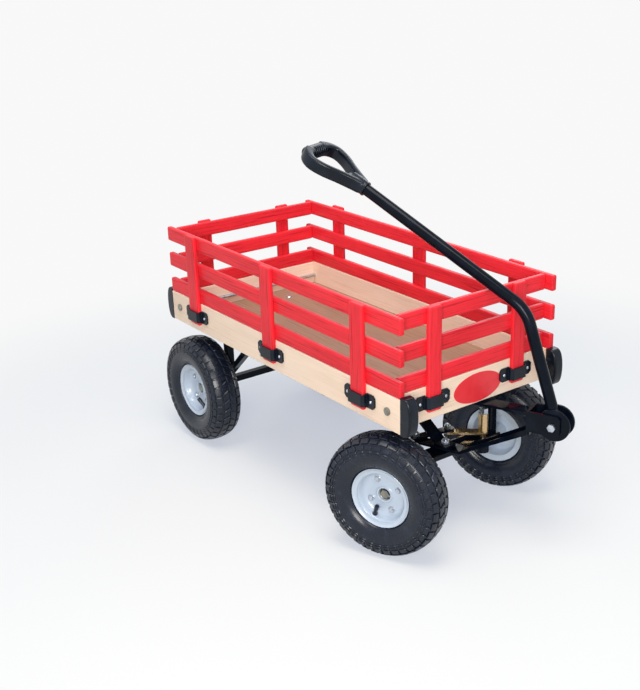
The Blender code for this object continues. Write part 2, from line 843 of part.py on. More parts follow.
# Tie bar: pivots on the tail's tip, with a slot for each knuckle's pin.
straight_half = KINGPIN_Y - ARM_IN
swing = STEER_MAX
full_half = math.hypot(ARM_IN * math.sin(swing), KINGPIN_Y - ARM_IN * math.cos(swing))
tie_turn = -math.atan2(ARM_IN * math.sin(STEER), KINGPIN_Y - ARM_IN * math.cos(STEER)) - STEER
tie_pivot = empty("tie_bar_pivot", tongue_pivot, (*tail_tip, 0.0), tie_turn)
tie_half = full_half + TIE_BAR_END
slot_r = hole_r(ARM_PIN_R, 2 * SLIP, 2 * 10)
tie_body = prism(
    link((0.0, -tie_half + 0.010), TIE_BAR_W / 2, (0.0, tie_half - 0.010), TIE_BAR_W / 2),
    "Z",
    TIE_BAR_Z,
    tie_top,
)
tie_cuts = [prism(circle(hole_r(ARM_PIN_R)), "Z", TIE_BAR_Z - 0.010, tie_top + 0.010)]
for side in (1, -1):
    slot = link((0.0, side * straight_half), slot_r, (0.0, side * full_half), slot_r)
    tie_cuts.append(prism(slot, "Z", TIE_BAR_Z - 0.010, tie_top + 0.010))
piece("tie_bar", combine([tie_body], tie_cuts), black_paint, tie_pivot, smooth=30)

# Pivot bolt through the clevis, held by the tongue.
handle_pivot = empty("handle_pivot", tongue_pivot, (PIVOT_S, 0.0, PIVOT_Z))
bolt_seat = clevis_out + GAP
bolt = [
    prism(circle(PIVOT_BOLT_R), "Y", -bolt_seat - 0.001, bolt_seat + 0.009),
    prism(circle(0.0085, 6), "Y", -bolt_seat - 0.006, -bolt_seat),
    prism(circle(0.0085, 6), "Y", bolt_seat, bolt_seat + 0.007),
]
piece("clevis_bolt", combine(bolt), zinc, tongue_pivot, (PIVOT_S, 0.0, PIVOT_Z), smooth=30)

# Handle. It leans back over the front rail with just enough room to steer to either stop.
rail_s = (END_FACE_X - KINGPIN_X) / math.cos(STEER_MAX)
slope = math.tan(HANDLE_SLOPE)
lift = (HANDLE_R + GAP) * math.hypot(1.0, slope / math.cos(STEER_MAX))
corner = Vector((CORNER_S, 0.0, RAIL_TOP + lift - (CORNER_S - rail_s) * slope))
pivot = Vector((PIVOT_S, 0.0, PIVOT_Z))
lower_way = (corner - pivot).normalized()
upper_way = Vector((-math.cos(HANDLE_SLOPE), 0.0, math.sin(HANDLE_SLOPE)))
bend = lower_way.angle(upper_way)
cut_back = BEND_R * math.tan(bend / 2)
bend_start = corner - lower_way * cut_back
bend_centre = bend_start + Vector((lower_way.z, 0.0, -lower_way.x)) * -BEND_R
tube_path = [pivot + lower_way * 0.013, pivot + lower_way * 0.060]
steps = 7
for k in range(steps + 1):
    turned = Matrix.Rotation(-bend * k / steps, 3, "Y") @ (bend_start - bend_centre)
    tube_path.append(bend_centre + turned)
collar_at = corner + upper_way * HANDLE_UPPER
tube_path.append(collar_at + upper_way * GRIP_OVERLAP)
tube = sweep([point - pivot for point in tube_path], (0.0, 1.0, 0.0), HANDLE_R, HANDLE_R)
cheeks = [
    prism(circle(CHEEK_R, 28), "Y", *sorted((side * CHEEK_IN, side * (CHEEK_IN + CHEEK_T))))
    for side in (1, -1)
]
reach = CHEEK_IN + CHEEK_T + 0.010
cheek_hole = prism(circle(hole_r(PIVOT_BOLT_R)), "Y", -reach, reach)
piece(
    "handle_tube",
    combine([tube, *cheeks], [cheek_hole]),
    black_paint,
    handle_pivot,
    smooth=30,
)

# Grip: a loop in the plane of the handle and the pivot axis, drawn along X and then laid on the tube.
arm_shape = [
    (0.08, 0.13, 0.0065),
    (0.22, 0.30, 0.0065),
    (0.40, 0.55, 0.0060),
    (0.58, 0.84, 0.0060),
    (0.72, 0.98, 0.0062),
    (0.82, 1.00, 0.0068),
    (0.91, 0.88, 0.0085),
    (0.97, 0.68, 0.0110),
    (1.00, 0.42, 0.0125),
]
grip_bodies = [
    sweep(
        [(a * GRIP_LENGTH, t * side * GRIP_HALF, 0.0) for a, t, _ in arm_shape],
        (0.0, 0.0, 1.0),
        [half for _, _, half in arm_shape],
        GRIP_DEPTH / 2,
        12,
        0.6,
    )
    for side in (1, -1)
]
bar_half = 0.62 * GRIP_HALF
grip_bodies += [
    prism(circle(GRIP_BAR_R, 16, centre=(GRIP_LENGTH, 0.0)), "Y", -bar_half, bar_half),
    prism(circle(COLLAR_R, 20), "X", 0.0, 0.040),
    prism(
        [
            (0.025, 0.010),
            (0.025, -0.010),
            (GRIP_WEB_END - 0.002, -0.026),
            (GRIP_WEB_END, 0.0),
            (GRIP_WEB_END - 0.002, 0.026),
        ],
        "Z",
        -0.35 * GRIP_DEPTH,
        0.35 * GRIP_DEPTH,
    ),
]
bore_r = hole_r(HANDLE_R, GAP, 20)
grip_cut = prism(circle(bore_r, 20), "X", -0.010, GRIP_OVERLAP + GAP)
grip = piece(
    "handle_grip",
    combine(grip_bodies, [grip_cut]),
    black_plastic,
    handle_pivot,
    collar_at - pivot,
    smooth=35,
)
grip.rotation_euler = (0.0, math.pi + HANDLE_SLOPE, 0.0)
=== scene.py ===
# %% [markdown]
# # Dressing a wooden pull wagon
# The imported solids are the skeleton: they have the right sizes and they move on the right joints.
# This lesson lays the looks over them, one family of pieces at a time: wood, moulded plastic, tyres,
# wheel rims, steel parts and the handle. Every piece is made where its solid stands and rides on that
# solid's body, so that each pose of the wagon carries the looks along.

# %% Load the frame
import json
import math
import random

import bmesh
import bpy
from mathutils import Matrix, Vector

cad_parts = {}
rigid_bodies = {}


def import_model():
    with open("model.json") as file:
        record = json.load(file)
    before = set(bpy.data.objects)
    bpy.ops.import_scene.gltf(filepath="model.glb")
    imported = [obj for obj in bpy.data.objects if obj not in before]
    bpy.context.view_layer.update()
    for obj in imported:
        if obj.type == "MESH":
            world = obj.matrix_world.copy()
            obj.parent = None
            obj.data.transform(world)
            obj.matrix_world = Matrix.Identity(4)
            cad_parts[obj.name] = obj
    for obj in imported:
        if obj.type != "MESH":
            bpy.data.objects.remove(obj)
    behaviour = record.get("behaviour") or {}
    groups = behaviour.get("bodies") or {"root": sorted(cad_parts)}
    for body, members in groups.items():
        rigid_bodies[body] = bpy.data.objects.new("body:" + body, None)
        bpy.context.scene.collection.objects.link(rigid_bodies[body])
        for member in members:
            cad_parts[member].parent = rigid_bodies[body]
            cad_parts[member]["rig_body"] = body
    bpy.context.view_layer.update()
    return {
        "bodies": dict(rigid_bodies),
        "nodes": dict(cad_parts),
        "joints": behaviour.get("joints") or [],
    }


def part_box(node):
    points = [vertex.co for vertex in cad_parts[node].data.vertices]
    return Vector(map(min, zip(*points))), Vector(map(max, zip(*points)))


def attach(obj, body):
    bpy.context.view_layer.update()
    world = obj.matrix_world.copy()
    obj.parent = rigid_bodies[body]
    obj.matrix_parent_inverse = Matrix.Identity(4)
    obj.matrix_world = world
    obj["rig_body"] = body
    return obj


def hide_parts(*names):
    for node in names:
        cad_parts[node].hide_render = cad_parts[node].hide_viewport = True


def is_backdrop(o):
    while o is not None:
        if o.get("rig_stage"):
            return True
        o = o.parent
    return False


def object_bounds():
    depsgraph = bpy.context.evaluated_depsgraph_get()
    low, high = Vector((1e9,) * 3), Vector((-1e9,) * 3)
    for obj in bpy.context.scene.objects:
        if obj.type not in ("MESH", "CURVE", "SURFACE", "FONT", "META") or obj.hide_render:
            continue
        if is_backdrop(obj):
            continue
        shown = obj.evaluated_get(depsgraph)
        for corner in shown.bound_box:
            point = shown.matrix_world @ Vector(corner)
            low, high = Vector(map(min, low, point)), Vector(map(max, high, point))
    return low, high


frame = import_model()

kept = set(frame["nodes"].values()) | set(frame["bodies"].values())
for stray in [thing for thing in bpy.data.objects if thing not in kept]:
    bpy.data.objects.remove(stray)
joints = {joint["name"]: joint for joint in frame["joints"]}
UP = Vector((0.0, 0.0, 1.0))
ACROSS = Vector((0.0, 1.0, 0.0))

# %% [markdown]
# ## Node trees as expressions
# A material or a Geometry Nodes tree is a graph, and a graph is easier to read as a formula. Value wraps
# one output socket, so that `0.4 + 0.1 * spots` adds the Math nodes by itself. Every other node comes from
# Graph.node, which sets the node's own settings first and then fills or links its inputs.


# %% The helper classes
class Value:
    """One output socket of a node, which can be added, taken away, multiplied and divided by."""

    def __init__(self, graph, socket):
        self.graph = graph
        self.socket = socket

    def output(self, name):
        """Another output of the same node."""
        return Value(self.graph, self.socket.node.outputs[name])

    def __add__(self, other):
        return self.graph.math("ADD", self, other)

    __radd__ = __add__

    def __sub__(self, other):
        return self.graph.math("SUBTRACT", self, other)

    def __mul__(self, other):
        return self.graph.math("MULTIPLY", self, other)

    __rmul__ = __mul__

    def __rtruediv__(self, other):
        return self.graph.math("DIVIDE", other, self)


class Graph:
    """A node tree that is filled by expressions."""

    def __init__(self, tree):
        self.tree = tree

    def node(self, kind, inputs=None, settings=None, output=0):
        """Adds a node, its settings first, then its inputs. Gives one of its outputs."""
        made = self.tree.nodes.new(kind)
        for name, value in (settings or {}).items():
            setattr(made, name, value)
        for key, value in (inputs or {}).items():
            if isinstance(value, Value):
                self.tree.links.new(value.socket, made.inputs[key])
            else:
                made.inputs[key].default_value = value
        return Value(self, made.outputs[output]) if made.outputs else None

    def math(self, operation, one, two):
        return self.node("ShaderNodeMath", {0: one, 1: two}, {"operation": operation})

    def between(self, value, low, high):
        """0 where value is at or under low, 1 at or over high, and smooth in between."""
        return self.node(
            "ShaderNodeMapRange",
            {"Value": value, "From Min": low, "From Max": high},
            {"interpolation_type": "SMOOTHSTEP"},
        )

    def mix(self, share, one, two):
        """Two colours mixed: one at share 0, two at share 1."""
        one, two = [(*c, 1.0) if isinstance(c, tuple) and len(c) == 3 else c for c in (one, two)]
        return self.node("ShaderNodeMix", {0: share, 6: one, 7: two}, {"data_type": "RGBA"}, 2)

    def noise(self, place, scale, detail=4.0, roughness=0.55):
        return self.node(
            "ShaderNodeTexNoise",
            {"Vector": place, "Scale": scale, "Detail": detail, "Roughness": roughness},
        )

    def stretched(self, place, scale):
        return self.node("ShaderNodeMapping", {"Vector": place, "Scale": scale})

    def bump(self, height, strength, depth):
        return self.node(
            "ShaderNodeBump", {"Height": height, "Strength": strength, "Distance": depth}
        )


def finish(name, build):
    """A material. build gives the Principled shader's inputs, as numbers, colours or Values."""
    made = bpy.data.materials.new(name)
    made.use_nodes = True
    made.node_tree.nodes.clear()
    graph = Graph(made.node_tree)
    shader = graph.node("ShaderNodeBsdfPrincipled", build(graph))
    graph.node("ShaderNodeOutputMaterial", {"Surface": shader})
    print("finish:", name, len(made.node_tree.nodes), "nodes")
    return made


# %% [markdown]
# ## Wood finishes
# The boards are pale hardwood under clear varnish, the floor is brown, and the racks are
# stained red so thinly that the grain shows through. The floor's brown is partly its own colour and partly
# painted shade, with a painted pink reflection of the red racks. One recipe serves all three. It reads an
# attribute named grain, which holds metres along, across and through each board, because the grain must
# follow the board and not the world. A wave bent by noise draws the year rings as long figures, and a very
# stretched noise draws the fibres.


# %% Wood
def wood(dark, light, ring_share, streak_share, gloss, relief):
    """A recipe for a stained and varnished board."""

    def build(graph):
        place = graph.node("ShaderNodeAttribute", {}, {"attribute_name": "grain"}, "Vector")
        rings = graph.node(
            "ShaderNodeTexWave",
            {
                "Vector": graph.stretched(place, (0.05, 1.0, 1.0)),
                "Scale": 46.0,
                "Distortion": 16.0,
                "Detail": 3.0,
                "Detail Scale": 0.9,
                "Detail Roughness": 0.62,
            },
            {"wave_type": "BANDS", "bands_direction": "Y"},
        )
        streaks = graph.noise(graph.stretched(place, (8.0, 270.0, 270.0)), 1.0, 4.0, 0.65)
        fibres = graph.noise(graph.stretched(place, (18.0, 900.0, 900.0)), 1.0, 3.0, 0.6)
        clouds = graph.noise(graph.stretched(place, (3.0, 12.0, 12.0)), 1.0, 3.0)
        late_wood = graph.between(rings, 0.62, 1.0)
        pores = graph.between(streaks, 0.52, 0.74)
        shade = (
            ring_share * late_wood
            + streak_share * pores
            + 0.12 * graph.between(fibres, 0.45, 0.7)
            + 0.25 * graph.between(clouds, 0.35, 0.7)
        )
        surface = fibres * 0.3 + 0.7 * streaks - 0.3 * late_wood
        return {
            "Base Color": graph.mix(shade, light, dark),
            "Roughness": gloss + 0.14 * pores,
            "Normal": graph.bump(surface, relief, 0.0005),
            "Specular IOR Level": 0.22,
        }

    return build


red_stain = finish(
    "red_stain", wood((0.34, 0.004, 0.012), (0.93, 0.031, 0.048), 0.16, 0.66, 0.36, 0.60)
)
clear_varnish = finish(
    "clear_varnish", wood((0.66, 0.44, 0.29), (1.0, 0.80, 0.655), 0.05, 0.30, 0.42, 0.20)
)
# the floor's colours are partly its own brown and partly painted shade, with a painted reflection of the
# red racks
brown_with_painted_shade = finish(
    "brown_with_painted_shade", wood((0.25, 0.135, 0.080), (0.42, 0.255, 0.175), 0.35, 0.40, 0.50, 0.20)
)

# %% [markdown]
# ## Plastic, rubber and metal finishes
# Moulded plastic has a fine even grain and is a little duller where it was handled. Powder coat has a soft
# orange peel under its gloss. Rubber is matt, with a trace of pale dust. Plated steel varies in roughness
# more than in colour, and the yellow passivation drifts from gold to rose. All of these read Object
# coordinates, which here are metres in the wagon's own frame, so the grain has its real size.


# %% Plastic, paint, rubber and plating
def object_place(graph):
    return graph.node("ShaderNodeTexCoord", {}, {}, "Object")


def moulding(graph):
    place = object_place(graph)
    grain = graph.noise(place, 1400.0, 2.0)
    handled = graph.between(graph.noise(place, 22.0, 3.0), 0.40, 0.70)
    return {
        "Base Color": graph.mix(handled, (0.003, 0.006, 0.012), (0.008, 0.013, 0.024)),
        "Roughness": 0.20 + 0.10 * handled + 0.05 * grain,
        "Normal": graph.bump(grain, 0.16, 0.0002),
        "Specular IOR Level": 0.24,
    }


def powder_coat(graph):
    place = object_place(graph)
    peel = graph.noise(place, 420.0, 2.0)
    dull = graph.between(graph.noise(place, 30.0, 4.0), 0.45, 0.75)
    return {
        "Base Color": graph.mix(dull, (0.002, 0.004, 0.009), (0.005, 0.008, 0.016)),
        "Roughness": 0.09 + 0.10 * dull,
        "Normal": graph.bump(peel, 0.08, 0.0002),
        "Specular IOR Level": 0.11,
    }


def tyre_rubber(graph):
    place = object_place(graph)
    fine = graph.noise(place, 900.0, 3.0)
    dust = graph.between(graph.noise(place, 38.0, 5.0, 0.65), 0.48, 0.78)
    return {
        "Base Color": graph.mix(dust, (0.004, 0.008, 0.019), (0.016, 0.024, 0.046)),
        "Roughness": 0.22 + 0.16 * dust + 0.10 * fine,
        "Normal": graph.bump(fine, 0.22, 0.0003),
        "Specular IOR Level": 0.44,
    }


def rim_enamel(graph):
    place = object_place(graph)
    peel = graph.noise(place, 260.0, 2.0)
    grime = graph.between(graph.noise(place, 55.0, 5.0, 0.6), 0.60, 0.85)
    return {
        "Base Color": graph.mix(grime, (0.50, 0.58, 0.70), (0.34, 0.40, 0.50)),
        "Roughness": 0.22 + 0.25 * grime,
        "Normal": graph.bump(peel, 0.07, 0.0002),
        "Coat Weight": 0.2,
    }


def plating(bright, tinted, metallic):
    """A recipe for zinc plating whose colour drifts between two tints."""

    def build(graph):
        place = object_place(graph)
        drift = graph.between(graph.noise(place, 60.0, 3.0), 0.35, 0.70)
        scuffs = graph.noise(place, 700.0, 4.0, 0.65)
        return {
            "Base Color": graph.mix(drift, bright, tinted),
            "Metallic": metallic,
            "Roughness": 0.16 + 0.22 * scuffs,
            "Normal": graph.bump(scuffs, 0.12, 0.0002),
        }

    return build


def enamel(tint, worn):
    """A recipe for a printed or painted patch."""

    def build(graph):
        place = object_place(graph)
        speckle = graph.noise(place, 800.0, 3.0)
        faded = graph.between(graph.noise(place, 45.0, 3.0), 0.40, 0.75)
        return {
            "Base Color": graph.mix(faded, tint, worn),
            "Roughness": 0.30 + 0.12 * speckle,
            "Normal": graph.bump(speckle, 0.05, 0.0002),
        }

    return build


black_moulding = finish("black_moulding", moulding)
black_coat = finish("black_coat", powder_coat)
black_rubber = finish("black_rubber", tyre_rubber)
pale_rim = finish("pale_rim", rim_enamel)
bright_zinc = finish("bright_zinc", plating((0.60, 0.64, 0.70), (0.38, 0.42, 0.50), 0.92))
yellow_zinc = finish("yellow_zinc", plating((0.66, 0.46, 0.20), (0.56, 0.40, 0.28), 0.88))
# dull plating whose dark tone is also painted shade: the hub recess's shade on axle ends, stubs and bearing
# rings, and a painted shadow on the tie-rod heads
dull_zinc_and_painted_shade = finish("dull_zinc_and_painted_shade", plating((0.30, 0.29, 0.24), (0.16, 0.18, 0.18), 0.88))
red_patch = finish("red_patch", enamel((0.84, 0.036, 0.050), (0.78, 0.030, 0.042)))
brad_steel = finish("brad_steel", plating((0.20, 0.05, 0.05), (0.12, 0.04, 0.04), 0.5))

# %% [markdown]
# ## From a mesh to a piece
# A shown piece rides on a body, and the solids that it replaces are hidden. Its object stays at the origin,
# and its place is in its mesh. Modifiers are used only while a piece is made: baked() takes the evaluated
# mesh and throws the modifiers away.


# %% Making pieces
def baked(holder):
    """The evaluated mesh of an object, which is then removed."""
    graph = bpy.context.evaluated_depsgraph_get()
    mesh = bpy.data.meshes.new_from_object(
        holder.evaluated_get(graph), preserve_all_data_layers=True, depsgraph=graph
    )
    bpy.data.objects.remove(holder)
    return mesh


def holder_of(mesh):
    """An object that carries a mesh while modifiers work on it."""
    holder = bpy.data.objects.new("holder", mesh)
    bpy.context.scene.collection.objects.link(holder)
    return holder


def mesh_of(body, name="made"):
    """A mesh from a bmesh, which is freed."""
    mesh = bpy.data.meshes.new(name)
    body.to_mesh(mesh)
    body.free()
    return mesh


def skin(body, rings):
    """Faces between rings of vertices, with a cap at each end."""
    for one, two in zip(rings, rings[1:]):
        for k in range(len(one)):
            after = (k + 1) % len(one)
            body.faces.new((one[k], one[after], two[after], two[k]))
    body.faces.new(rings[0])
    body.faces.new(rings[-1])
    bmesh.ops.recalc_face_normals(body, faces=body.faces)


def smoothed(mesh, angle):
    """The mesh with smooth shading, but for edges sharper than an angle in degrees."""
    mesh.shade_smooth()
    mesh.set_sharp_from_angle(angle=math.radians(angle))
    return mesh


def rounded(mesh, width, segments=2, angle=30):
    """The mesh with its sharp edges rounded and its flats left flat."""
    mesh.shade_smooth()
    holder = holder_of(mesh)
    bevel = holder.modifiers.new("round", "BEVEL")
    bevel.width = width
    bevel.segments = segments
    bevel.limit_method = "ANGLE"
    bevel.angle_limit = math.radians(angle)
    bevel.use_clamp_overlap = True
    bevel.miter_outer = "MITER_ARC"
    holder.modifiers.new("flats", "WEIGHTED_NORMAL").keep_sharp = True
    return baked(holder)


def show(name, mesh, surface, body, nodes=()):
    """Puts a finished piece on its body. A surface of None keeps the mesh's own materials."""
    if surface is not None:
        mesh.materials.clear()
        mesh.materials.append(surface)
    made = bpy.data.objects.new(name, mesh)
    bpy.context.scene.collection.objects.link(made)
    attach(made, body)
    if nodes:
        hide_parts(*nodes)


def body_of(node):
    return frame["nodes"][node]["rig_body"]


def nodes_named(start):
    return [name for name in frame["nodes"] if name.startswith(start)]


# %% [markdown]
# ## Boards, rails and stakes
# Each wooden part is a sawn board with its edges sanded round. The board takes the size of its solid, so
# nothing is measured twice. The sanded edge catches a pale line of light all along the racks, and it is
# the first thing the eye uses to tell wood from plastic. The grain attribute is written here, with a
# seeded shift for each board so that no two boards show the same figure.


# %% The sawn and sanded boards
SANDED_EDGE = 0.0036
BOARD_EDGE = 0.0016
FLOOR_EDGE = 0.0008


def board_mesh(node, along, edge):
    """A board as large as its solid, with its grain along one axis."""
    low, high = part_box(node)
    body = bmesh.new()
    bmesh.ops.create_cube(body, size=1.0)
    size = high - low
    placed = Matrix.Translation((low + high) / 2) @ Matrix.Diagonal((*size, 1.0))
    bmesh.ops.transform(body, matrix=placed, verts=body.verts)
    mesh = rounded(mesh_of(body), edge, 3)
    shift = random.Random(node)
    start = Vector([shift.uniform(0.0, 9.0) for _ in range(3)])
    # which axis runs along the grain, which across it and which through the board
    order = {"X": (0, 2, 1), "Y": (1, 2, 0), "Z": (2, 0, 1)}[along]
    if node == "bed_floor":
        order = (0, 1, 2)
    grain = mesh.attributes.new("grain", "FLOAT_VECTOR", "POINT")
    for vertex, value in zip(mesh.vertices, grain.data):
        value.vector = start + Vector([vertex.co[k] for k in order])
    return mesh


wooden = {}
for side in ("left", "right"):
    wooden[f"side_board_{side}"] = ("X", BOARD_EDGE, clear_varnish, "pale_wood")
for end in ("front", "rear"):
    wooden[f"end_board_{end}"] = ("Y", BOARD_EDGE, clear_varnish, "pale_wood")
# the floor's finish holds painted shade and a painted reflection of the red racks besides its own brown
wooden["bed_floor"] = ("X", FLOOR_EDGE, brown_with_painted_shade, "floor_wood")
for name in frame["nodes"]:
    if name.startswith("rail_"):
        along = "X" if "left" in name or "right" in name else "Y"
        wooden[name] = (along, SANDED_EDGE, red_stain, "red_wood")
    if name.startswith("stake_"):
        wooden[name] = ("Z", SANDED_EDGE, red_stain, "red_wood")
for name, (along, edge, surface, slot) in wooden.items():
    show(f"{name}_wood", board_mesh(name, along, edge), surface, body_of(name), [name])
print("wooden pieces:", len(wooden))

# %% [markdown]
# ## Rounded solids
# Steel plates, nuts and pockets already have their final shape in the solids, only with knife edges. A
# copy of the solid is welded into one mesh, its flat faces are merged, and a small bevel is added, which
# gives every edge the thin highlight of a real part. Faces near a bolt get the bolt's own plating.


# %% Copies of solids with rounded edges
def welded(node):
    """A copy of a solid's mesh in one piece, without the seams between flat triangles."""
    body = bmesh.new()
    body.from_mesh(frame["nodes"][node].data)
    bmesh.ops.remove_doubles(body, verts=body.verts, dist=1e-5)
    bmesh.ops.dissolve_limit(
        body, angle_limit=math.radians(0.5), verts=body.verts, edges=body.edges
    )
    return mesh_of(body, node)


def softened(node, edge, surface, regions=(), segments=2, kind="steel"):
    """A piece that follows its solid, with rounded edges. regions are (test of a point, surface)."""
    mesh = rounded(welded(node), edge, segments)
    mesh.materials.clear()
    for wanted in [surface] + [other for _, other in regions]:
        mesh.materials.append(wanted)
    for face in mesh.polygons:
        face.material_index = 0
        for k, (test, _) in enumerate(regions, 1):
            if test(face.center):
                face.material_index = k
    show(f"{node}_{kind}", mesh, None, body_of(node), [node])


def near(centre, reach, low=-9.0, high=9.0):
    """A test for points within reach of an upright line, between two heights."""
    return lambda p: math.hypot(p.x - centre[0], p.y - centre[1]) < reach and low < p.z < high


def beyond(half):
    """A test for points more than half away from the wagon's middle plane."""
    return lambda p: abs(p.y) > half


def apart(centre, reach, test):
    """A test for points that pass another one and aren't near an upright line."""
    return lambda p: test(p) and not near(centre, reach)(p)


king = joints["tongue_steer"]["pos_m"]
tail = joints["tie_bar_swing"]["pos_m"]
bed_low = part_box("side_board_right")[0].z
# where a second finish begins: heights, and distances from an axis or the middle plane
TIE_LEVEL = bed_low - 0.1190
KING_NUT_LEVEL = bed_low - 0.1206
SLEEVE_FOOT = bed_low - 0.1416
SLEEVE_TOP = bed_low - 0.0822
SLEEVE_COLLAR = 0.0050
STUB_LEVEL = SLEEVE_FOOT + 0.03
KING_NUT_R = 0.0112
TAIL_PIN_R = 0.0090
SLEEVE_R = 0.0170
KINGPIN_R = 0.0130
TIE_PIN_BAND = (0.02, 0.2)
STUB_FROM = 0.076
AXLE_END_FROM = 0.186
TIE_ROD_END_FROM = 0.2
for name in nodes_named("pocket_"):
    softened(name, 0.0012, black_moulding, kind="moulding")
# the axle ends take the dull zinc whose dark tone is partly painted shade of the hub's recess
for name, edge, regions in (
    ("rear_frame", 0.0012, [(beyond(AXLE_END_FROM), dull_zinc_and_painted_shade)]),
    ("front_frame", 0.0010, [(near(king, KING_NUT_R, KING_NUT_LEVEL), bright_zinc)]),
    ("tongue", 0.0008, [(near(tail, TAIL_PIN_R, TIE_LEVEL), bright_zinc)]),
    ("tie_bar", 0.0010, []),
):
    softened(name, edge, black_coat, regions)
softened("clevis_bolt", 0.0010, bright_zinc)
for side in ("left", "right"):
    pin = joints[f"knuckle_{side}_steer"]["pos_m"]
    inner, outer = TIE_PIN_BAND
    # the stubs take the dull zinc whose dark tone is partly painted shade of the hub's recess
    regions = [
        (near(pin, SLEEVE_R, 0.0, SLEEVE_FOOT), black_coat),
        (near(pin, KINGPIN_R, SLEEVE_TOP), bright_zinc),
        (near(pin, KINGPIN_R, SLEEVE_TOP - SLEEVE_COLLAR, SLEEVE_TOP), black_coat),
        (apart(pin, inner, near(pin, outer, TIE_LEVEL)), bright_zinc),
        (apart(pin, STUB_FROM, lambda p: p.z < STUB_LEVEL), dull_zinc_and_painted_shade),
    ]
    softened(f"{side}_spindle", 0.0008, yellow_zinc, regions)
for end in ("front", "rear"):
    # the rod heads take the dull zinc whose dark tone is partly a painted shadow
    heads = [(beyond(TIE_ROD_END_FROM), dull_zinc_and_painted_shade)]
    softened(f"tie_rod_{end}", 0.0014, bright_zinc, heads, 3)
print("rounded copies of solids done")

# %% [markdown]
# ## Corner bumpers
# The black corner pieces are thick D-shaped bumpers. They are lofted here in many thin levels with real
# corner arcs, because a bevel on the coarse solid would show its flats in the highlight.


# %% Corner bumpers
BUMPER_LEVELS = 30
BUMPER_CORNER = 0.0045
BUMPER_FULLNESS = 0.45
BUMPER_TRIM = 0.05


def bumper_mesh(node):
    """A D-shaped bumper between the corners of its solid."""
    low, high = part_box(node)
    out = 1 if high.x > 0 else -1
    start = low.x if out > 0 else high.x
    reach = high.x - low.x
    body = bmesh.new()
    rings = []
    for k in range(BUMPER_LEVELS + 1):
        turn = math.pi * (BUMPER_TRIM + (1 - 2 * BUMPER_TRIM) * k / BUMPER_LEVELS)
        rise = 1 - math.cos(turn) / math.cos(math.pi * BUMPER_TRIM)
        z = low.z + (high.z - low.z) / 2 * rise
        depth = reach * math.sin(turn) ** BUMPER_FULLNESS
        ring = [(0.0, low.y)]
        for centre_y, first in ((low.y + BUMPER_CORNER, -90), (high.y - BUMPER_CORNER, 0)):
            for step in range(7):
                angle = math.radians(first + 15 * step)
                x = depth - BUMPER_CORNER + BUMPER_CORNER * math.cos(angle)
                ring.append((x, centre_y + BUMPER_CORNER * math.sin(angle)))
        ring.append((0.0, high.y))
        rings.append([body.verts.new((start + out * x, y, z)) for x, y in ring])
    skin(body, rings)
    return rounded(mesh_of(body), 0.0012, 2, 40)


for name in nodes_named("corner_cap_"):
    show(f"{name}_moulding", bumper_mesh(name), black_moulding, "bed", [name])
print("bumpers:", BUMPER_LEVELS, "levels each")

# %% [markdown]
# ## Three Geometry Nodes trees
# What repeats is drawn once and copied by a tree. The ring turns copies about the wheel's axle, the row
# sets them along a line, and the scatter puts a fastener on every marked spot, facing the way that the
# spot says. Instances are realized at the end, because an exported model keeps only real meshes.


# %% The trees
def new_tree(name, inputs):
    """An empty Geometry Nodes tree with named inputs, and the wrapped group input."""
    tree = bpy.data.node_groups.new(name, "GeometryNodeTree")
    for label, kind in (("Copy", "Geometry"), *inputs, ("Finish", "Material")):
        tree.interface.new_socket(label, in_out="INPUT", socket_type=f"NodeSocket{kind}")
    tree.interface.new_socket("Made", in_out="OUTPUT", socket_type="NodeSocketGeometry")
    graph = Graph(tree)
    return graph, graph.node("NodeGroupInput")


def close_tree(graph, given, copies):
    """Realizes the copies and gives them their finish."""
    real = graph.node("GeometryNodeRealizeInstances", {"Geometry": copies})
    painted = graph.node(
        "GeometryNodeSetMaterial", {"Geometry": real, "Material": given.output("Finish")}
    )
    graph.node("NodeGroupOutput", {0: painted})
    return graph.tree


def ring_tree():
    graph, given = new_tree("ring_about_y", (("Count", "Int"), ("First", "Float")))
    line = graph.node(
        "GeometryNodeMeshLine", {"Count": given.output("Count"), "Offset": (0.0, 0.0, 0.0)}
    )
    index = graph.node("GeometryNodeInputIndex")
    angle = index * (math.tau / given.output("Count")) + given.output("First")
    turn = graph.node("ShaderNodeCombineXYZ", {"Y": angle})
    copies = graph.node(
        "GeometryNodeInstanceOnPoints", {"Points": line, "Instance": given, "Rotation": turn}
    )
    return close_tree(graph, given, copies)


def row_tree():
    graph, given = new_tree("row", (("Count", "Int"), ("Step", "Vector")))
    line = graph.node(
        "GeometryNodeMeshLine", {"Count": given.output("Count"), "Offset": given.output("Step")}
    )
    copies = graph.node("GeometryNodeInstanceOnPoints", {"Points": line, "Instance": given})
    return close_tree(graph, given, copies)


def scatter_tree():
    graph, given = new_tree("fasteners_on_spots", (("Fastener", "Object"),))
    thing = graph.node(
        "GeometryNodeObjectInfo", {"Object": given.output("Fastener")}, {}, "Geometry"
    )
    facing = graph.node(
        "GeometryNodeInputNamedAttribute", {"Name": "facing"}, {"data_type": "FLOAT_VECTOR"}
    )
    turn = graph.node("FunctionNodeAlignRotationToVector", {"Vector": facing}, {"axis": "Z"})
    copies = graph.node(
        "GeometryNodeInstanceOnPoints", {"Points": given, "Instance": thing, "Rotation": turn}
    )
    return close_tree(graph, given, copies)


def grown(tree, mesh, values):
    """The mesh that a tree makes. Its inputs are set by their identifiers."""
    holder = holder_of(mesh)
    modifier = holder.modifiers.new("tree", "NODES")
    modifier.node_group = tree
    for item in tree.interface.items_tree:
        if item.in_out == "INPUT" and item.name in values:
            modifier[item.identifier] = values[item.name]
    return baked(holder)


ring, row, scatter = ring_tree(), row_tree(), scatter_tree()
print("trees:", ring.name, row.name, scatter.name)

# %% [markdown]
# ## Turned bodies
# Tyres, rims, bearings, bolt heads and cheeks are bodies of revolution. The profile is a list of radius
# and distance along the axle, and it is turned about Y. A closed profile makes a closed skin, no poles.


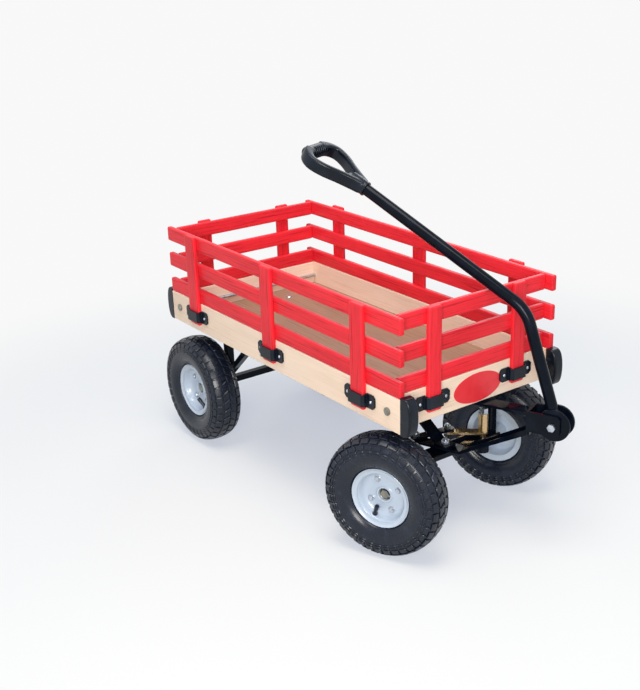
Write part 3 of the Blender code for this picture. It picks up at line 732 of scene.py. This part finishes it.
# %% Turning and placing
def turned(profile, sides, closed=True):
    """A profile of (radius, distance along Y) turned about Y."""
    body = bmesh.new()
    rings = []
    for k in range(sides):
        angle = math.tau * k / sides
        rings.append(
            [body.verts.new((r * math.cos(angle), y, r * math.sin(angle))) for r, y in profile]
        )
    spans = len(profile) if closed else len(profile) - 1
    for k in range(sides):
        one, two = rings[k], rings[(k + 1) % sides]
        for j in range(spans):
            after = (j + 1) % len(profile)
            body.faces.new((one[j], one[after], two[after], two[j]))
    bmesh.ops.remove_doubles(body, verts=body.verts, dist=1e-6)
    bmesh.ops.recalc_face_normals(body, faces=body.faces)
    return smoothed(mesh_of(body), 38)


def moved(mesh, matrix):
    """A copy of a mesh, moved."""
    copy = mesh.copy()
    copy.transform(matrix)
    return copy


def wheel_matrix(joint):
    """From a wheel's own frame, outwards along Y, to the wagon's frame."""
    centre = Vector(joint["pos_m"])
    out = Vector(joint["axis"]).normalized()
    if out.y * centre.y < 0:
        out = -out
    turn = Matrix((out.cross(UP), out, UP)).transposed()
    return Matrix.Translation(centre) @ turn.to_4x4()


# %% [markdown]
# ## Tyres
# An air tyre has a smooth bulging sidewall and a knobbly tread. The carcass is turned from a fine profile
# that stays a few millimetres inside the solid, and the tread fills the space up to it. Each side has a row
# of shoulder blocks with two thin ledges below each, a second row half a pitch further round, and a zigzag
# row beside the middle. A block is lofted through a few stations, each a base point and a top point on the
# tyre's section, so it bends with the carcass. The ring tree copies every block 36 times round.

# %% The tyre's carcass
LUGS = 36
PITCH = math.tau / LUGS
sidewall = [
    (0.0544, 0.0236), (0.0655, 0.0238), (0.0672, 0.0260), (0.0686, 0.0290),
    (0.0700, 0.0300), (0.0714, 0.0304), (0.0724, 0.0316), (0.0765, 0.0344),
    (0.0830, 0.0370), (0.0905, 0.0383), (0.0980, 0.0384), (0.1036, 0.0379),
    (0.1096, 0.0365), (0.1160, 0.0341), (0.1220, 0.0292), (0.1258, 0.0226),
    (0.1279, 0.0150), (0.1288, 0.0075),
]
carcass = sidewall + [(r, -y) for r, y in reversed(sidewall)]
CARCASS_SIDES = 112
carcass_mesh = turned(carcass, CARCASS_SIDES)
print("carcass faces:", len(carcass_mesh.polygons))


# %% The tread blocks
TOP_SHARE = 0.94
BLOCK_BEVEL = 0.0010
TREAD_ANGLE = 35


def block(stations):
    """A tread block through stations of (base r, base y, top r, top y, middle angle, half angle)."""
    body = bmesh.new()
    rings = []
    for base_r, base_y, top_r, top_y, middle, half in stations:
        ring = []
        for r, y, turn in (
            (base_r, base_y, -half),
            (top_r, top_y, -TOP_SHARE * half),
            (top_r, top_y, 0.0),
            (top_r, top_y, TOP_SHARE * half),
            (base_r, base_y, half),
        ):
            angle = middle + turn
            ring.append(body.verts.new((r * math.cos(angle), y, r * math.sin(angle))))
        rings.append(ring)
    skin(body, rings)
    bmesh.ops.bevel(
        body,
        geom=[e for e in body.edges if e.calc_face_angle(0.0) > math.radians(50)],
        offset=BLOCK_BEVEL,
        segments=1,
        affect="EDGES",
    )
    return smoothed(mesh_of(body), TREAD_ANGLE)


SHOULDER = (
    (0.1100, 0.0352, 0.1108, 0.0386, 0.43),
    (0.1142, 0.0332, 0.1160, 0.0369, 0.43),
    (0.1182, 0.0310, 0.1206, 0.0346, 0.42),
)
UPPER_ROW = (
    (0.1204, 0.0288, 0.1234, 0.0330, 0.43),
    (0.1232, 0.0242, 0.1270, 0.0276, 0.43),
    (0.1250, 0.0196, 0.1297, 0.0206, 0.43),
)
LEDGES = (
    ((0.0990, 0.0378, 0.0992, 0.0395, 0.45), (0.1026, 0.0372, 0.1028, 0.0397, 0.45)),
    ((0.1044, 0.0368, 0.1046, 0.0396, 0.45), (0.1082, 0.0358, 0.1084, 0.0391, 0.45)),
)
CENTRE = ((0.0016, 0.1318), (0.0064, 0.1317), (0.0112, 0.1312), (0.0168, 0.1304))
CENTRE_DEPTH = 0.0045
CENTRE_HALF = 0.42
CENTRE_PHASE = 0.05
ZIGZAG = 0.34


def side_block(side, stations):
    """A block on one side of the tyre, square to the rim."""
    return block(
        [(br, side * by, tr, side * ty, 0.0, half * PITCH) for br, by, tr, ty, half in stations]
    )


def centre_block(side):
    """One block of the two zigzag rows beside the middle of the tread."""
    made = []
    for k, (y, r) in enumerate(CENTRE):
        turn = ZIGZAG * PITCH * (k / (len(CENTRE) - 1) - 0.5)
        made.append((r - CENTRE_DEPTH, side * y, r, side * y, turn, CENTRE_HALF * PITCH))
    return block(made)


tread_parts = []
for side, phase in ((1, 0.0), (-1, 0.5)):
    rows = [(phase, side_block(side, stations)) for stations in (SHOULDER, *LEDGES)]
    rows.append((phase + 0.5, side_block(side, UPPER_ROW)))
    rows.append((phase + CENTRE_PHASE, centre_block(side)))
    for first, copy in rows:
        tread_parts.append(
            grown(ring, copy, {"Count": LUGS, "First": -first * PITCH, "Finish": black_rubber})
        )
tread_body = bmesh.new()
for part in tread_parts:
    tread_body.from_mesh(part)
tread_mesh = smoothed(mesh_of(tread_body), TREAD_ANGLE)
print("tread faces a tyre:", len(tread_mesh.polygons))

# %% [markdown]
# ## Rims
# The rim is a pressed steel dish with a rolled lip, a flat disc set deep inside it and a hub tube through
# the middle. It is turned from one closed profile, and a ring in the hub's mouth shows the bearing; its
# dark zinc is partly painted shade of the recess. Four bolts stand on the disc, and the valve comes through
# the slope of the dish and leans towards the hub.

# %% The rim
DISC_Y = 0.0045
front_profile = [
    (0.0084, -0.0020), (0.0128, -0.0020), (0.0134, -0.0012), (0.0136, 0.0070),
    (0.0144, 0.0079), (0.0168, 0.0080), (0.0176, 0.0072), (0.0184, 0.0056),
    (0.0205, DISC_Y), (0.0405, DISC_Y), (0.0440, 0.0056), (0.0475, 0.0088),
    (0.0500, 0.0128), (0.0515, 0.0175), (0.0535, 0.0212), (0.0580, 0.0236),
    (0.0618, 0.0252), (0.0632, 0.0266), (0.0642, 0.0270), (0.0650, 0.0264),
    (0.0650, 0.0248), (0.0636, 0.0243), (0.0542, 0.0239),
]
back_profile = [
    (0.0542, -0.0239), (0.0636, -0.0243), (0.0650, -0.0248), (0.0650, -0.0264),
    (0.0642, -0.0270), (0.0620, -0.0262), (0.0525, -0.0240), (0.0512, -0.0200),
    (0.0505, -0.0010), (0.0470, 0.0040), (0.0420, 0.0016), (0.0190, 0.0014),
    (0.0180, -0.0290), (0.0172, -0.0300), (0.0084, -0.0300),
]
rim_mesh = turned(front_profile + back_profile, 96)
print("rim faces:", len(rim_mesh.polygons))

# %% Rim bolts and the valve
RIM_BOLTS = 4
RIM_BOLT_R = 0.0352


def domed_bolt(radius, height):
    """A bolt head with a washer, standing along Y from the disc."""
    profile = [
        (0.0, 0.0), (1.35 * radius, 0.0), (1.35 * radius, 0.16 * height),
        (1.25 * radius, 0.22 * height), (radius, 0.24 * height), (radius, 0.72 * height),
        (0.84 * radius, 0.92 * height), (0.45 * radius, height), (0.0, height),
    ]
    return turned(profile, 18, closed=False)


on_disc = Matrix.Translation((RIM_BOLT_R, DISC_Y - 0.0001, 0.0))
bolt_copy = moved(domed_bolt(0.0056, 0.0058), on_disc)
valve_profile = [
    (0.0, -0.003), (0.0058, -0.003), (0.0058, 0.002), (0.0044, 0.006),
    (0.0040, 0.018), (0.0047, 0.0188), (0.0047, 0.0275), (0.0038, 0.0290),
    (0.0, 0.0290),
]
VALVE_FOOT = (0.0500, 0.0120, 0.0)
VALVE_LEAN = math.radians(70)
on_slope = Matrix.Translation(VALVE_FOOT) @ Matrix.Rotation(VALVE_LEAN, 4, "Z")
valve_copy = moved(turned(valve_profile, 16, closed=False), on_slope)
bearing = turned(
    [
        (0.0104, -0.0021), (0.0130, -0.0021), (0.0130, 0.0030), (0.0122, 0.0042),
        (0.0112, 0.0036), (0.0104, 0.0010),
    ],
    48,
)
# degrees round each wheel of the first bolt and of the valve
WHEELS = {
    "front_right": (63.0, -67.0),
    "front_left": (20.0, 140.0),
    "rear_right": (40.0, -122.0),
    "rear_left": (75.0, 100.0),
}
for name, (first, valve_at) in WHEELS.items():
    body = f"wheel_{name}"
    place = wheel_matrix(joints[f"{body}_spin"])
    lean = Matrix.Rotation(-math.radians(valve_at), 4, "Y")
    bolts = grown(
        ring,
        bolt_copy.copy(),
        {"Count": RIM_BOLTS, "First": -math.radians(first), "Finish": bright_zinc},
    )
    # the bearing ring takes the dull zinc whose dark tone is partly painted shade of the hub's recess
    for label, mesh, at, surface, slot, nodes in (
        (f"tyre_{name}_carcass", carcass_mesh, place, black_rubber, "rubber", [f"tyre_{name}"]),
        (f"tyre_{name}_tread", tread_mesh, place, black_rubber, "rubber", []),
        (f"rim_{name}_pressing", rim_mesh, place, pale_rim, "rim_paint", [f"rim_{name}"]),
        (f"rim_{name}_bolts", bolts, place, bright_zinc, "zinc", []),
        (f"rim_{name}_valve", valve_copy, place @ lean, black_rubber, "rubber", []),
        (f"rim_{name}_bearing", bearing, place, dull_zinc_and_painted_shade, "zinc", []),
    ):
        show(label, moved(mesh, at), surface, body, nodes)
print("wheels dressed:", len(WHEELS))

# %% [markdown]
# ## Fasteners on the bed
# Each pocket is held by two small round screws, and the floor by a few carriage bolts. The brads in the
# rails' ends are no more than dark dots. Spots are written down with the way that they face, and the
# scatter tree does the rest.


# %% Screws, bolts and brads
def fastener(radius, height, recess, sides=14):
    """A domed head about Z with a small recess in its middle."""
    profile = [
        (0.0, -0.0004), (radius, -0.0004), (radius, 0.30 * height),
        (0.86 * radius, 0.72 * height), (0.55 * radius, height), (1.02 * recess, height),
        (0.80 * recess, 0.45 * height), (0.0, 0.40 * height),
    ]
    mesh = turned(profile, sides, closed=False)
    mesh.transform(Matrix.Rotation(math.pi / 2, 4, "X"))
    return mesh


def scattered(name, spots, fastener_mesh, surface, body):
    """Copies of a fastener on spots of (place, way it faces)."""
    mesh = bpy.data.meshes.new(name)
    mesh.from_pydata([place for place, _ in spots], [], [])
    facing = mesh.attributes.new("facing", "FLOAT_VECTOR", "POINT")
    for value, (_, way) in zip(facing.data, spots):
        value.vector = way
    copy = holder_of(fastener_mesh)
    made = grown(scatter, mesh, {"Fastener": copy, "Finish": surface})
    bpy.data.objects.remove(copy)
    print(name, len(spots))
    show(name, made, surface, body)


EAR_MIDDLE = 0.0110
EAR_THICK = 0.0043
FLOOR_BOLTS_X = (-0.408, 0.276)
FLOOR_BOLTS_Y = (-0.072, 0.072)
BRAD_INSET = 0.011
BRAD_SINK = 0.0003
pocket_spots = []
for name in nodes_named("pocket_"):
    low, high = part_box(name)
    middle = (low + high) / 2
    size = high - low
    along = 0 if size.x > size.y else 1
    way = Vector((0.0, 0.0, 0.0))
    way[1 - along] = math.copysign(1.0, middle[1 - along])
    face = low[1 - along] if way[1 - along] > 0 else high[1 - along]
    for end in (-1, 1):
        spot = middle.copy()
        spot[along] += end * (size[along] / 2 - EAR_MIDDLE)
        spot[1 - along] = face + way[1 - along] * EAR_THICK
        pocket_spots.append((spot, way))
scattered(
    "pocket_screws", pocket_spots, fastener(0.0034, 0.0020, 0.0015), bright_zinc, "bed"
)
floor_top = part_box("bed_floor")[1].z
floor_spots = [
    (Vector((x, y, floor_top)), UP)
    for x in FLOOR_BOLTS_X
    for y in FLOOR_BOLTS_Y
]
scattered("floor_bolts", floor_spots, fastener(0.0085, 0.0034, 0.0022), bright_zinc, "bed")
for side in ("left", "right"):
    spots = []
    for k in (1, 2, 3):
        low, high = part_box(f"rail_{side}_{k}")
        for x in (low.x + BRAD_INSET, high.x - BRAD_INSET):
            spots.append((Vector((x, (low.y + high.y) / 2, high.z - BRAD_SINK)), UP))
    brad = fastener(0.0017, 0.0006, 0.0006, 10)
    scattered(f"brads_{side}", spots, brad, brad_steel, f"rack_{side}")

# %% [markdown]
# ## The oval patch
# The front board carries a plain oval patch of red. It is left bare. It is a very thin plate on the board,
# so that its edge throws the faint line that a transfer has.

# %% The oval patch
PATCH_HALF_Y = 0.0655
PATCH_HALF_Z = 0.0318
PATCH_CENTRE = (0.0100, 0.0340)
PATCH_SIDES = 72
patch = bmesh.new()
front_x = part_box("end_board_front")[1].x
levels = []
for lift, shrink in ((0.0, 0.0), (0.0004, 0.0), (0.0006, 0.0005)):
    level = []
    for k in range(PATCH_SIDES):
        angle = math.tau * k / PATCH_SIDES
        y = PATCH_CENTRE[0] + (PATCH_HALF_Y - shrink) * math.cos(angle)
        z = bed_low + PATCH_CENTRE[1] + (PATCH_HALF_Z - shrink) * math.sin(angle)
        level.append(patch.verts.new((front_x + lift, y, z)))
    levels.append(level)
skin(patch, levels)
show("front_patch", mesh_of(patch), red_patch, "bed")
print("patch:", round(2000 * PATCH_HALF_Y), "by", round(2000 * PATCH_HALF_Z), "mm")

# %% [markdown]
# ## Handle
# The handle is one bent tube between two round cheeks on the clevis bolt. The tube is swept again with
# many sides, because a long glossy curve shows every flat. Its centre line is worked out in the handle's
# own plane: s runs ahead along the tongue, z is up.

# %% The handle's frame
TONGUE_TURN = math.radians(22.5)
HANDLE_R = 0.012
CORNER = Vector((0.1696, 0.0, 0.205896))
SLOPE = math.radians(29.8)
BEND_R = 0.080
UPPER = 0.408
GRIP_OVERLAP = 0.030
turn_z = Matrix.Rotation(TONGUE_TURN, 4, "Z")
tongue_frame = Matrix.Translation((king[0], king[1], bed_low)) @ turn_z
pivot = tongue_frame.inverted() @ Vector(joints["handle_pitch"]["pos_m"])
lower_way = (CORNER - pivot).normalized()
upper_way = Vector((-math.cos(SLOPE), 0.0, math.sin(SLOPE)))
bend = lower_way.angle(upper_way)
cut_back = BEND_R * math.tan(bend / 2)
bend_start = CORNER - lower_way * cut_back
bend_centre = bend_start - Vector((lower_way.z, 0.0, -lower_way.x)) * BEND_R
collar_at = CORNER + upper_way * UPPER
print("pivot in the tongue's frame:", [round(v, 4) for v in pivot])


# %% Sweeping a bar
def swept(path, across, side_r, across_r, sides, fullness=1.0):
    """An oval bar along a path in a plane square to across. Radii are one value or one a point."""
    side_r = side_r if isinstance(side_r, list) else [side_r] * len(path)
    across_r = across_r if isinstance(across_r, list) else [across_r] * len(path)
    body = bmesh.new()
    rings = []
    for k, point in enumerate(path):
        ahead = (path[min(k + 1, len(path) - 1)] - path[max(k - 1, 0)]).normalized()
        side = ahead.cross(across)
        ring = []
        for j in range(sides):
            angle = math.tau * j / sides
            out = math.copysign(abs(math.cos(angle)) ** fullness, math.cos(angle))
            up = math.copysign(abs(math.sin(angle)) ** fullness, math.sin(angle))
            ring.append(
                body.verts.new(point + side * (side_r[k] * out) + across * (across_r[k] * up))
            )
        rings.append(ring)
    skin(body, rings)
    return body


# %% The tube and its cheeks
BEND_STEPS = 24
TUBE_FOOT = 0.013
centre_line = [pivot + lower_way * TUBE_FOOT, pivot + lower_way * 0.060]
for k in range(BEND_STEPS + 1):
    turned_by = Matrix.Rotation(-bend * k / BEND_STEPS, 3, "Y")
    centre_line.append(bend_centre + turned_by @ (bend_start - bend_centre))
centre_line.append(collar_at)
centre_line.append(collar_at + upper_way * (GRIP_OVERLAP - 0.001))
tube = smoothed(mesh_of(swept(centre_line, ACROSS, HANDLE_R, HANDLE_R, 40)), 50)
tube.transform(tongue_frame)
show("handle_tube_steel", tube, black_coat, "handle", ["handle_tube"])

CHEEK_BORE = 0.0054
CHEEK_R = 0.034
CHEEK_IN = 0.0108
CHEEK_OUT = 0.0170
for side, name in ((1, "left"), (-1, "right")):
    profile = [
        (CHEEK_BORE, CHEEK_IN),
        (CHEEK_R - 0.0012, CHEEK_IN),
        (CHEEK_R, CHEEK_IN + 0.0010),
        (CHEEK_R, CHEEK_OUT - 0.0016),
        (CHEEK_R - 0.0006, CHEEK_OUT - 0.0005),
        (CHEEK_R - 0.0018, CHEEK_OUT),
        (CHEEK_BORE, CHEEK_OUT),
    ]
    cheek = turned([(r, side * y) for r, y in profile], 72)
    cheek.transform(tongue_frame @ Matrix.Translation(pivot))
    show(f"handle_cheek_{name}", cheek, black_coat, "handle")
print("tube stations:", len(centre_line))

# %% [markdown]
# ## Grip
# The grip is one moulding: a collar that opens into two flat arms, a web between them and a round cross
# bar. Joining tubes by hand leaves hard creases, while a real moulding flows. So the rough parts are laid
# over each other, fused by a voxel remesh and relaxed by a smoothing modifier, which rounds every inner
# corner at once. The finger ribs come last, from the row tree.

# %% The grip's moulding
GRIP_LENGTH = 0.138
GRIP_HALF = 0.050
GRIP_DEPTH = 0.027
BAR_R = 0.0135
# shares of the length and of the half width, and half the arm's thickness
arm_shape = [
    (0.08, 0.13, 0.0068), (0.22, 0.30, 0.0068), (0.40, 0.55, 0.0064), (0.58, 0.84, 0.0064),
    (0.72, 0.98, 0.0066), (0.82, 1.00, 0.0072), (0.91, 0.88, 0.0090), (0.97, 0.68, 0.0110),
    (1.00, 0.42, 0.0122),
]


def catmull_rom(p, q, r, s, t):
    """A number on the curve from q to r, with p before and s after them."""
    return 0.5 * (
        2 * q
        + (r - p) * t
        + (2 * p - 5 * q + 4 * r - s) * t**2
        + (3 * q - p - 3 * r + s) * t**3
    )


def smooth_path(points, steps):
    """A Catmull-Rom curve through tuples of numbers."""
    padded = [points[0], *points, points[-1]]
    made = []
    for a, b, c, d in zip(padded, padded[1:], padded[2:], padded[3:]):
        for k in range(steps):
            made.append(tuple(catmull_rom(*four, k / steps) for four in zip(a, b, c, d)))
    return made + [points[-1]]


rough = bmesh.new()
curve = smooth_path(arm_shape, 6)
for side in (1, -1):
    arm = swept(
        [Vector((a * GRIP_LENGTH, t * side * GRIP_HALF, 0.0)) for a, t, _ in curve],
        UP,
        [half for _, _, half in curve],
        GRIP_DEPTH / 2 + 0.0002,
        28,
        0.45,
    )
    rough.from_mesh(mesh_of(arm))
bar_line = [Vector((GRIP_LENGTH, t * GRIP_HALF, 0.0)) for t in (-0.62, 0.0, 0.62)]
bar = swept(bar_line, UP, BAR_R, BAR_R, 32)
rough.from_mesh(mesh_of(bar))
collar_radii = [0.0154, 0.0152, 0.0148]
collar_line = [Vector((x, 0.0, 0.0)) for x in (0.0, 0.020, 0.040)]
collar = swept(collar_line, UP, collar_radii, collar_radii, 36)
rough.from_mesh(mesh_of(collar))
web = swept(
    [Vector((x, 0.0, 0.0)) for x in (0.022, 0.032, 0.042, 0.050)],
    UP,
    [0.009, 0.013, 0.017, 0.018],
    [0.0120, 0.0105, 0.0085, 0.0070],
    24,
    0.6,
)
rough.from_mesh(mesh_of(web))
holder = holder_of(mesh_of(rough))
fuse = holder.modifiers.new("fuse", "REMESH")
fuse.mode = "VOXEL"
fuse.voxel_size = 0.0012
relax = holder.modifiers.new("relax", "SMOOTH")
relax.factor = 0.5
relax.iterations = 6
grip_mesh = baked(holder)
grip_mesh.shade_smooth()
grip_turn = Matrix.Rotation(math.pi + SLOPE, 4, "Y")
grip_frame = tongue_frame @ Matrix.Translation(collar_at) @ grip_turn
grip_mesh.transform(grip_frame)
show("handle_grip_moulding", grip_mesh, black_moulding, "handle", ["handle_grip"])
print("grip faces:", len(grip_mesh.polygons))

# %% Finger ribs and the lip of the collar
RIBS = 8
RIB_STEP = 0.0072
RIB_STATIONS = 17
RIB_SINK = 0.0004
rib_r = BAR_R - RIB_SINK
rib_path, rib_height = [], []
for k in range(RIB_STATIONS):
    angle = math.radians(-80 + 10 * k)
    rib_path.append(Vector((GRIP_LENGTH - rib_r * math.cos(angle), 0.0, rib_r * math.sin(angle))))
    rib_height.append(0.0030 * math.sin(math.pi * (k + 0.6) / (RIB_STATIONS + 0.2)) ** 0.4)
rib_width = [0.5 * value for value in rib_height]
rib = mesh_of(swept(rib_path, ACROSS, rib_height, rib_width, 10))
rib.transform(Matrix.Translation((0.0, -RIB_STEP * (RIBS - 1) / 2, 0.0)))
rib.shade_smooth()
ribs = grown(row, rib, {"Count": RIBS, "Step": (0.0, RIB_STEP, 0.0), "Finish": black_moulding})
ribs.transform(grip_frame)
show("handle_grip_ribs", ribs, black_moulding, "handle")
LIP_BORE = 0.0123
lip_profile = [
    (LIP_BORE, 0.0), (0.0150, 0.0), (0.0158, 0.0012), (0.0156, 0.0036),
    (0.0148, 0.0046), (LIP_BORE, 0.0046),
]
lip = turned(lip_profile, 48)
lip.transform(grip_frame @ Matrix.Rotation(-math.pi / 2, 4, "Z"))
show("handle_grip_lip", lip, black_moulding, "handle")
print("finger ribs:", RIBS)

# %% [markdown]
# ## Weld beads
# The tongue's top bar and channel are welded to the clevis plate. A weld is a row of overlapping ripples,
# so one flattened bead and the row tree make it.

# %% Weld beads on the clevis
BEAD_R = 0.0026
CLEVIS_S = 0.188
SEAM_FOOT = -0.0500
bead_profile = [(0.0, -0.0016), (0.7 * BEAD_R, -0.0010), (BEAD_R, 0.0)]
bead_profile += [(0.7 * BEAD_R, 0.0010), (0.0, 0.0016)]
bead = turned(bead_profile, 10, closed=False)
for name, start, step, count in (
    ("weld_top", (CLEVIS_S, -0.016, -0.0040), (0.0, 0.0032, 0.0), 11),
    ("weld_right", (CLEVIS_S, -0.0180, SEAM_FOOT), (0.0, 0.0, 0.0030), 15),
    ("weld_left", (CLEVIS_S, 0.0180, SEAM_FOOT), (0.0, 0.0, 0.0030), 15),
):
    first_bead = moved(bead, Matrix.Translation(start))
    beads = grown(row, first_bead, {"Count": count, "Step": step, "Finish": black_coat})
    beads.transform(tongue_frame)
    show(name, beads, black_coat, "tongue_body")
print("weld beads done")

# %% [markdown]
# ## Floor, light and camera
# The picture is a studio shot: a white sweep, a large soft light from above and a bluish fill. The floor
# takes part in the light as a plain pale surface. Only what the camera or a reflection sees of it gets an
# added glow up to white, so that the shadow stays while the background turns white.

# %% Floor and world
PAPER = 0.94
AMBIENT = 0.38
GLOW = 0.54
GLOW_FADES = (0.75, 1.7)


def seen_directly(graph):
    """1 for camera, mirror and glass rays."""
    path = graph.node("ShaderNodeLightPath", {}, {}, "Is Camera Ray")
    both = graph.math("MAXIMUM", path, path.output("Is Glossy Ray"))
    return graph.math("MAXIMUM", both, path.output("Is Transmission Ray"))


floor_body = bmesh.new()
bmesh.ops.create_grid(floor_body, x_segments=1, y_segments=1, size=14.0)
floor = bpy.data.objects.new("floor", mesh_of(floor_body, "floor"))
bpy.context.scene.collection.objects.link(floor)
pale = bpy.data.materials.new("pale_floor")
pale.use_nodes = True
pale.node_tree.nodes.clear()
graph = Graph(pale.node_tree)
matt = graph.node("ShaderNodeBsdfDiffuse", {"Color": (0.43, 0.41, 0.34, 1.0)})
glow = graph.node(
    "ShaderNodeEmission",
    {"Color": (0.78, 0.84, 1.0, 1.0), "Strength": GLOW * seen_directly(graph)},
)
near_floor = graph.node("ShaderNodeAddShader", {0: matt, 1: glow})
paper = graph.node("ShaderNodeEmission", {"Strength": PAPER})
away = graph.node(
    "ShaderNodeVectorMath", {0: object_place(graph)}, {"operation": "LENGTH"}, "Value"
)
far = graph.between(away, *GLOW_FADES) * seen_directly(graph)
graph.node(
    "ShaderNodeOutputMaterial",
    {"Surface": graph.node("ShaderNodeMixShader", {0: far, 1: near_floor, 2: paper})},
)
floor.data.materials.append(pale)
floor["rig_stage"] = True

world = bpy.data.worlds.new("studio")
bpy.context.scene.world = world
world.use_nodes = True
world.node_tree.nodes.clear()
graph = Graph(world.node_tree)
straight = seen_directly(graph)
air = graph.node(
    "ShaderNodeBackground",
    {
        "Color": graph.mix(straight, (0.74, 0.84, 1.0), (1.0, 1.0, 1.0)),
        "Strength": AMBIENT + (PAPER - AMBIENT) * straight,
    },
)
graph.node("ShaderNodeOutputWorld", {"Surface": air})
print("ambient light:", AMBIENT)


# %% Lamps
def softbox(name, place, target, size, power, colour):
    lamp = bpy.data.lights.new(name, "AREA")
    lamp.shape = "SQUARE"
    lamp.size = size
    lamp.energy = power
    lamp.color = colour
    made = bpy.data.objects.new(name, lamp)
    made.location = place
    made.rotation_euler = (Vector(target) - Vector(place)).to_track_quat("-Z", "Y").to_euler()
    bpy.context.scene.collection.objects.link(made)


softbox("key", (0.5, -0.5, 2.9), (0.0, 0.0, 0.2), 1.6, 57.0, (1.0, 0.98, 0.93))
softbox("camera_side", (2.6, -2.3, 1.5), (0.0, 0.0, 0.3), 1.4, 94.0, (1.0, 0.98, 0.94))
softbox("rim_light", (-1.8, 2.2, 2.0), (0.0, 0.0, 0.3), 1.4, 16.0, (0.92, 0.96, 1.0))
print("lamps: 3")

# %% Camera
# Its axes, place and lens were worked out from the edges and wheels in the photograph.
right = Vector((0.6171, 0.7868, -0.0158))
upwards = Vector((-0.2866, 0.2434, 0.9266))
backwards = right.cross(upwards).normalized()
upwards = backwards.cross(right).normalized()
lens = bpy.data.cameras.new("camera")
lens.lens = 57.6
lens.sensor_width = 36.0
lens.shift_x = -0.0665
lens.shift_y = 0.0286
camera = bpy.data.objects.new("camera", lens)
turn = Matrix((right.normalized(), upwards, backwards)).transposed()
camera.matrix_world = Matrix.Translation((1.8461, -1.4264, 1.2118)) @ turn.to_4x4()
bpy.context.scene.collection.objects.link(camera)
bpy.context.scene.camera = camera
bpy.context.scene.view_settings.view_transform = "Standard"
print("camera at", [round(v, 3) for v in camera.location])

# %% Sizes
low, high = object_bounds()
print("visual size:", [round(v, 4) for v in high - low])
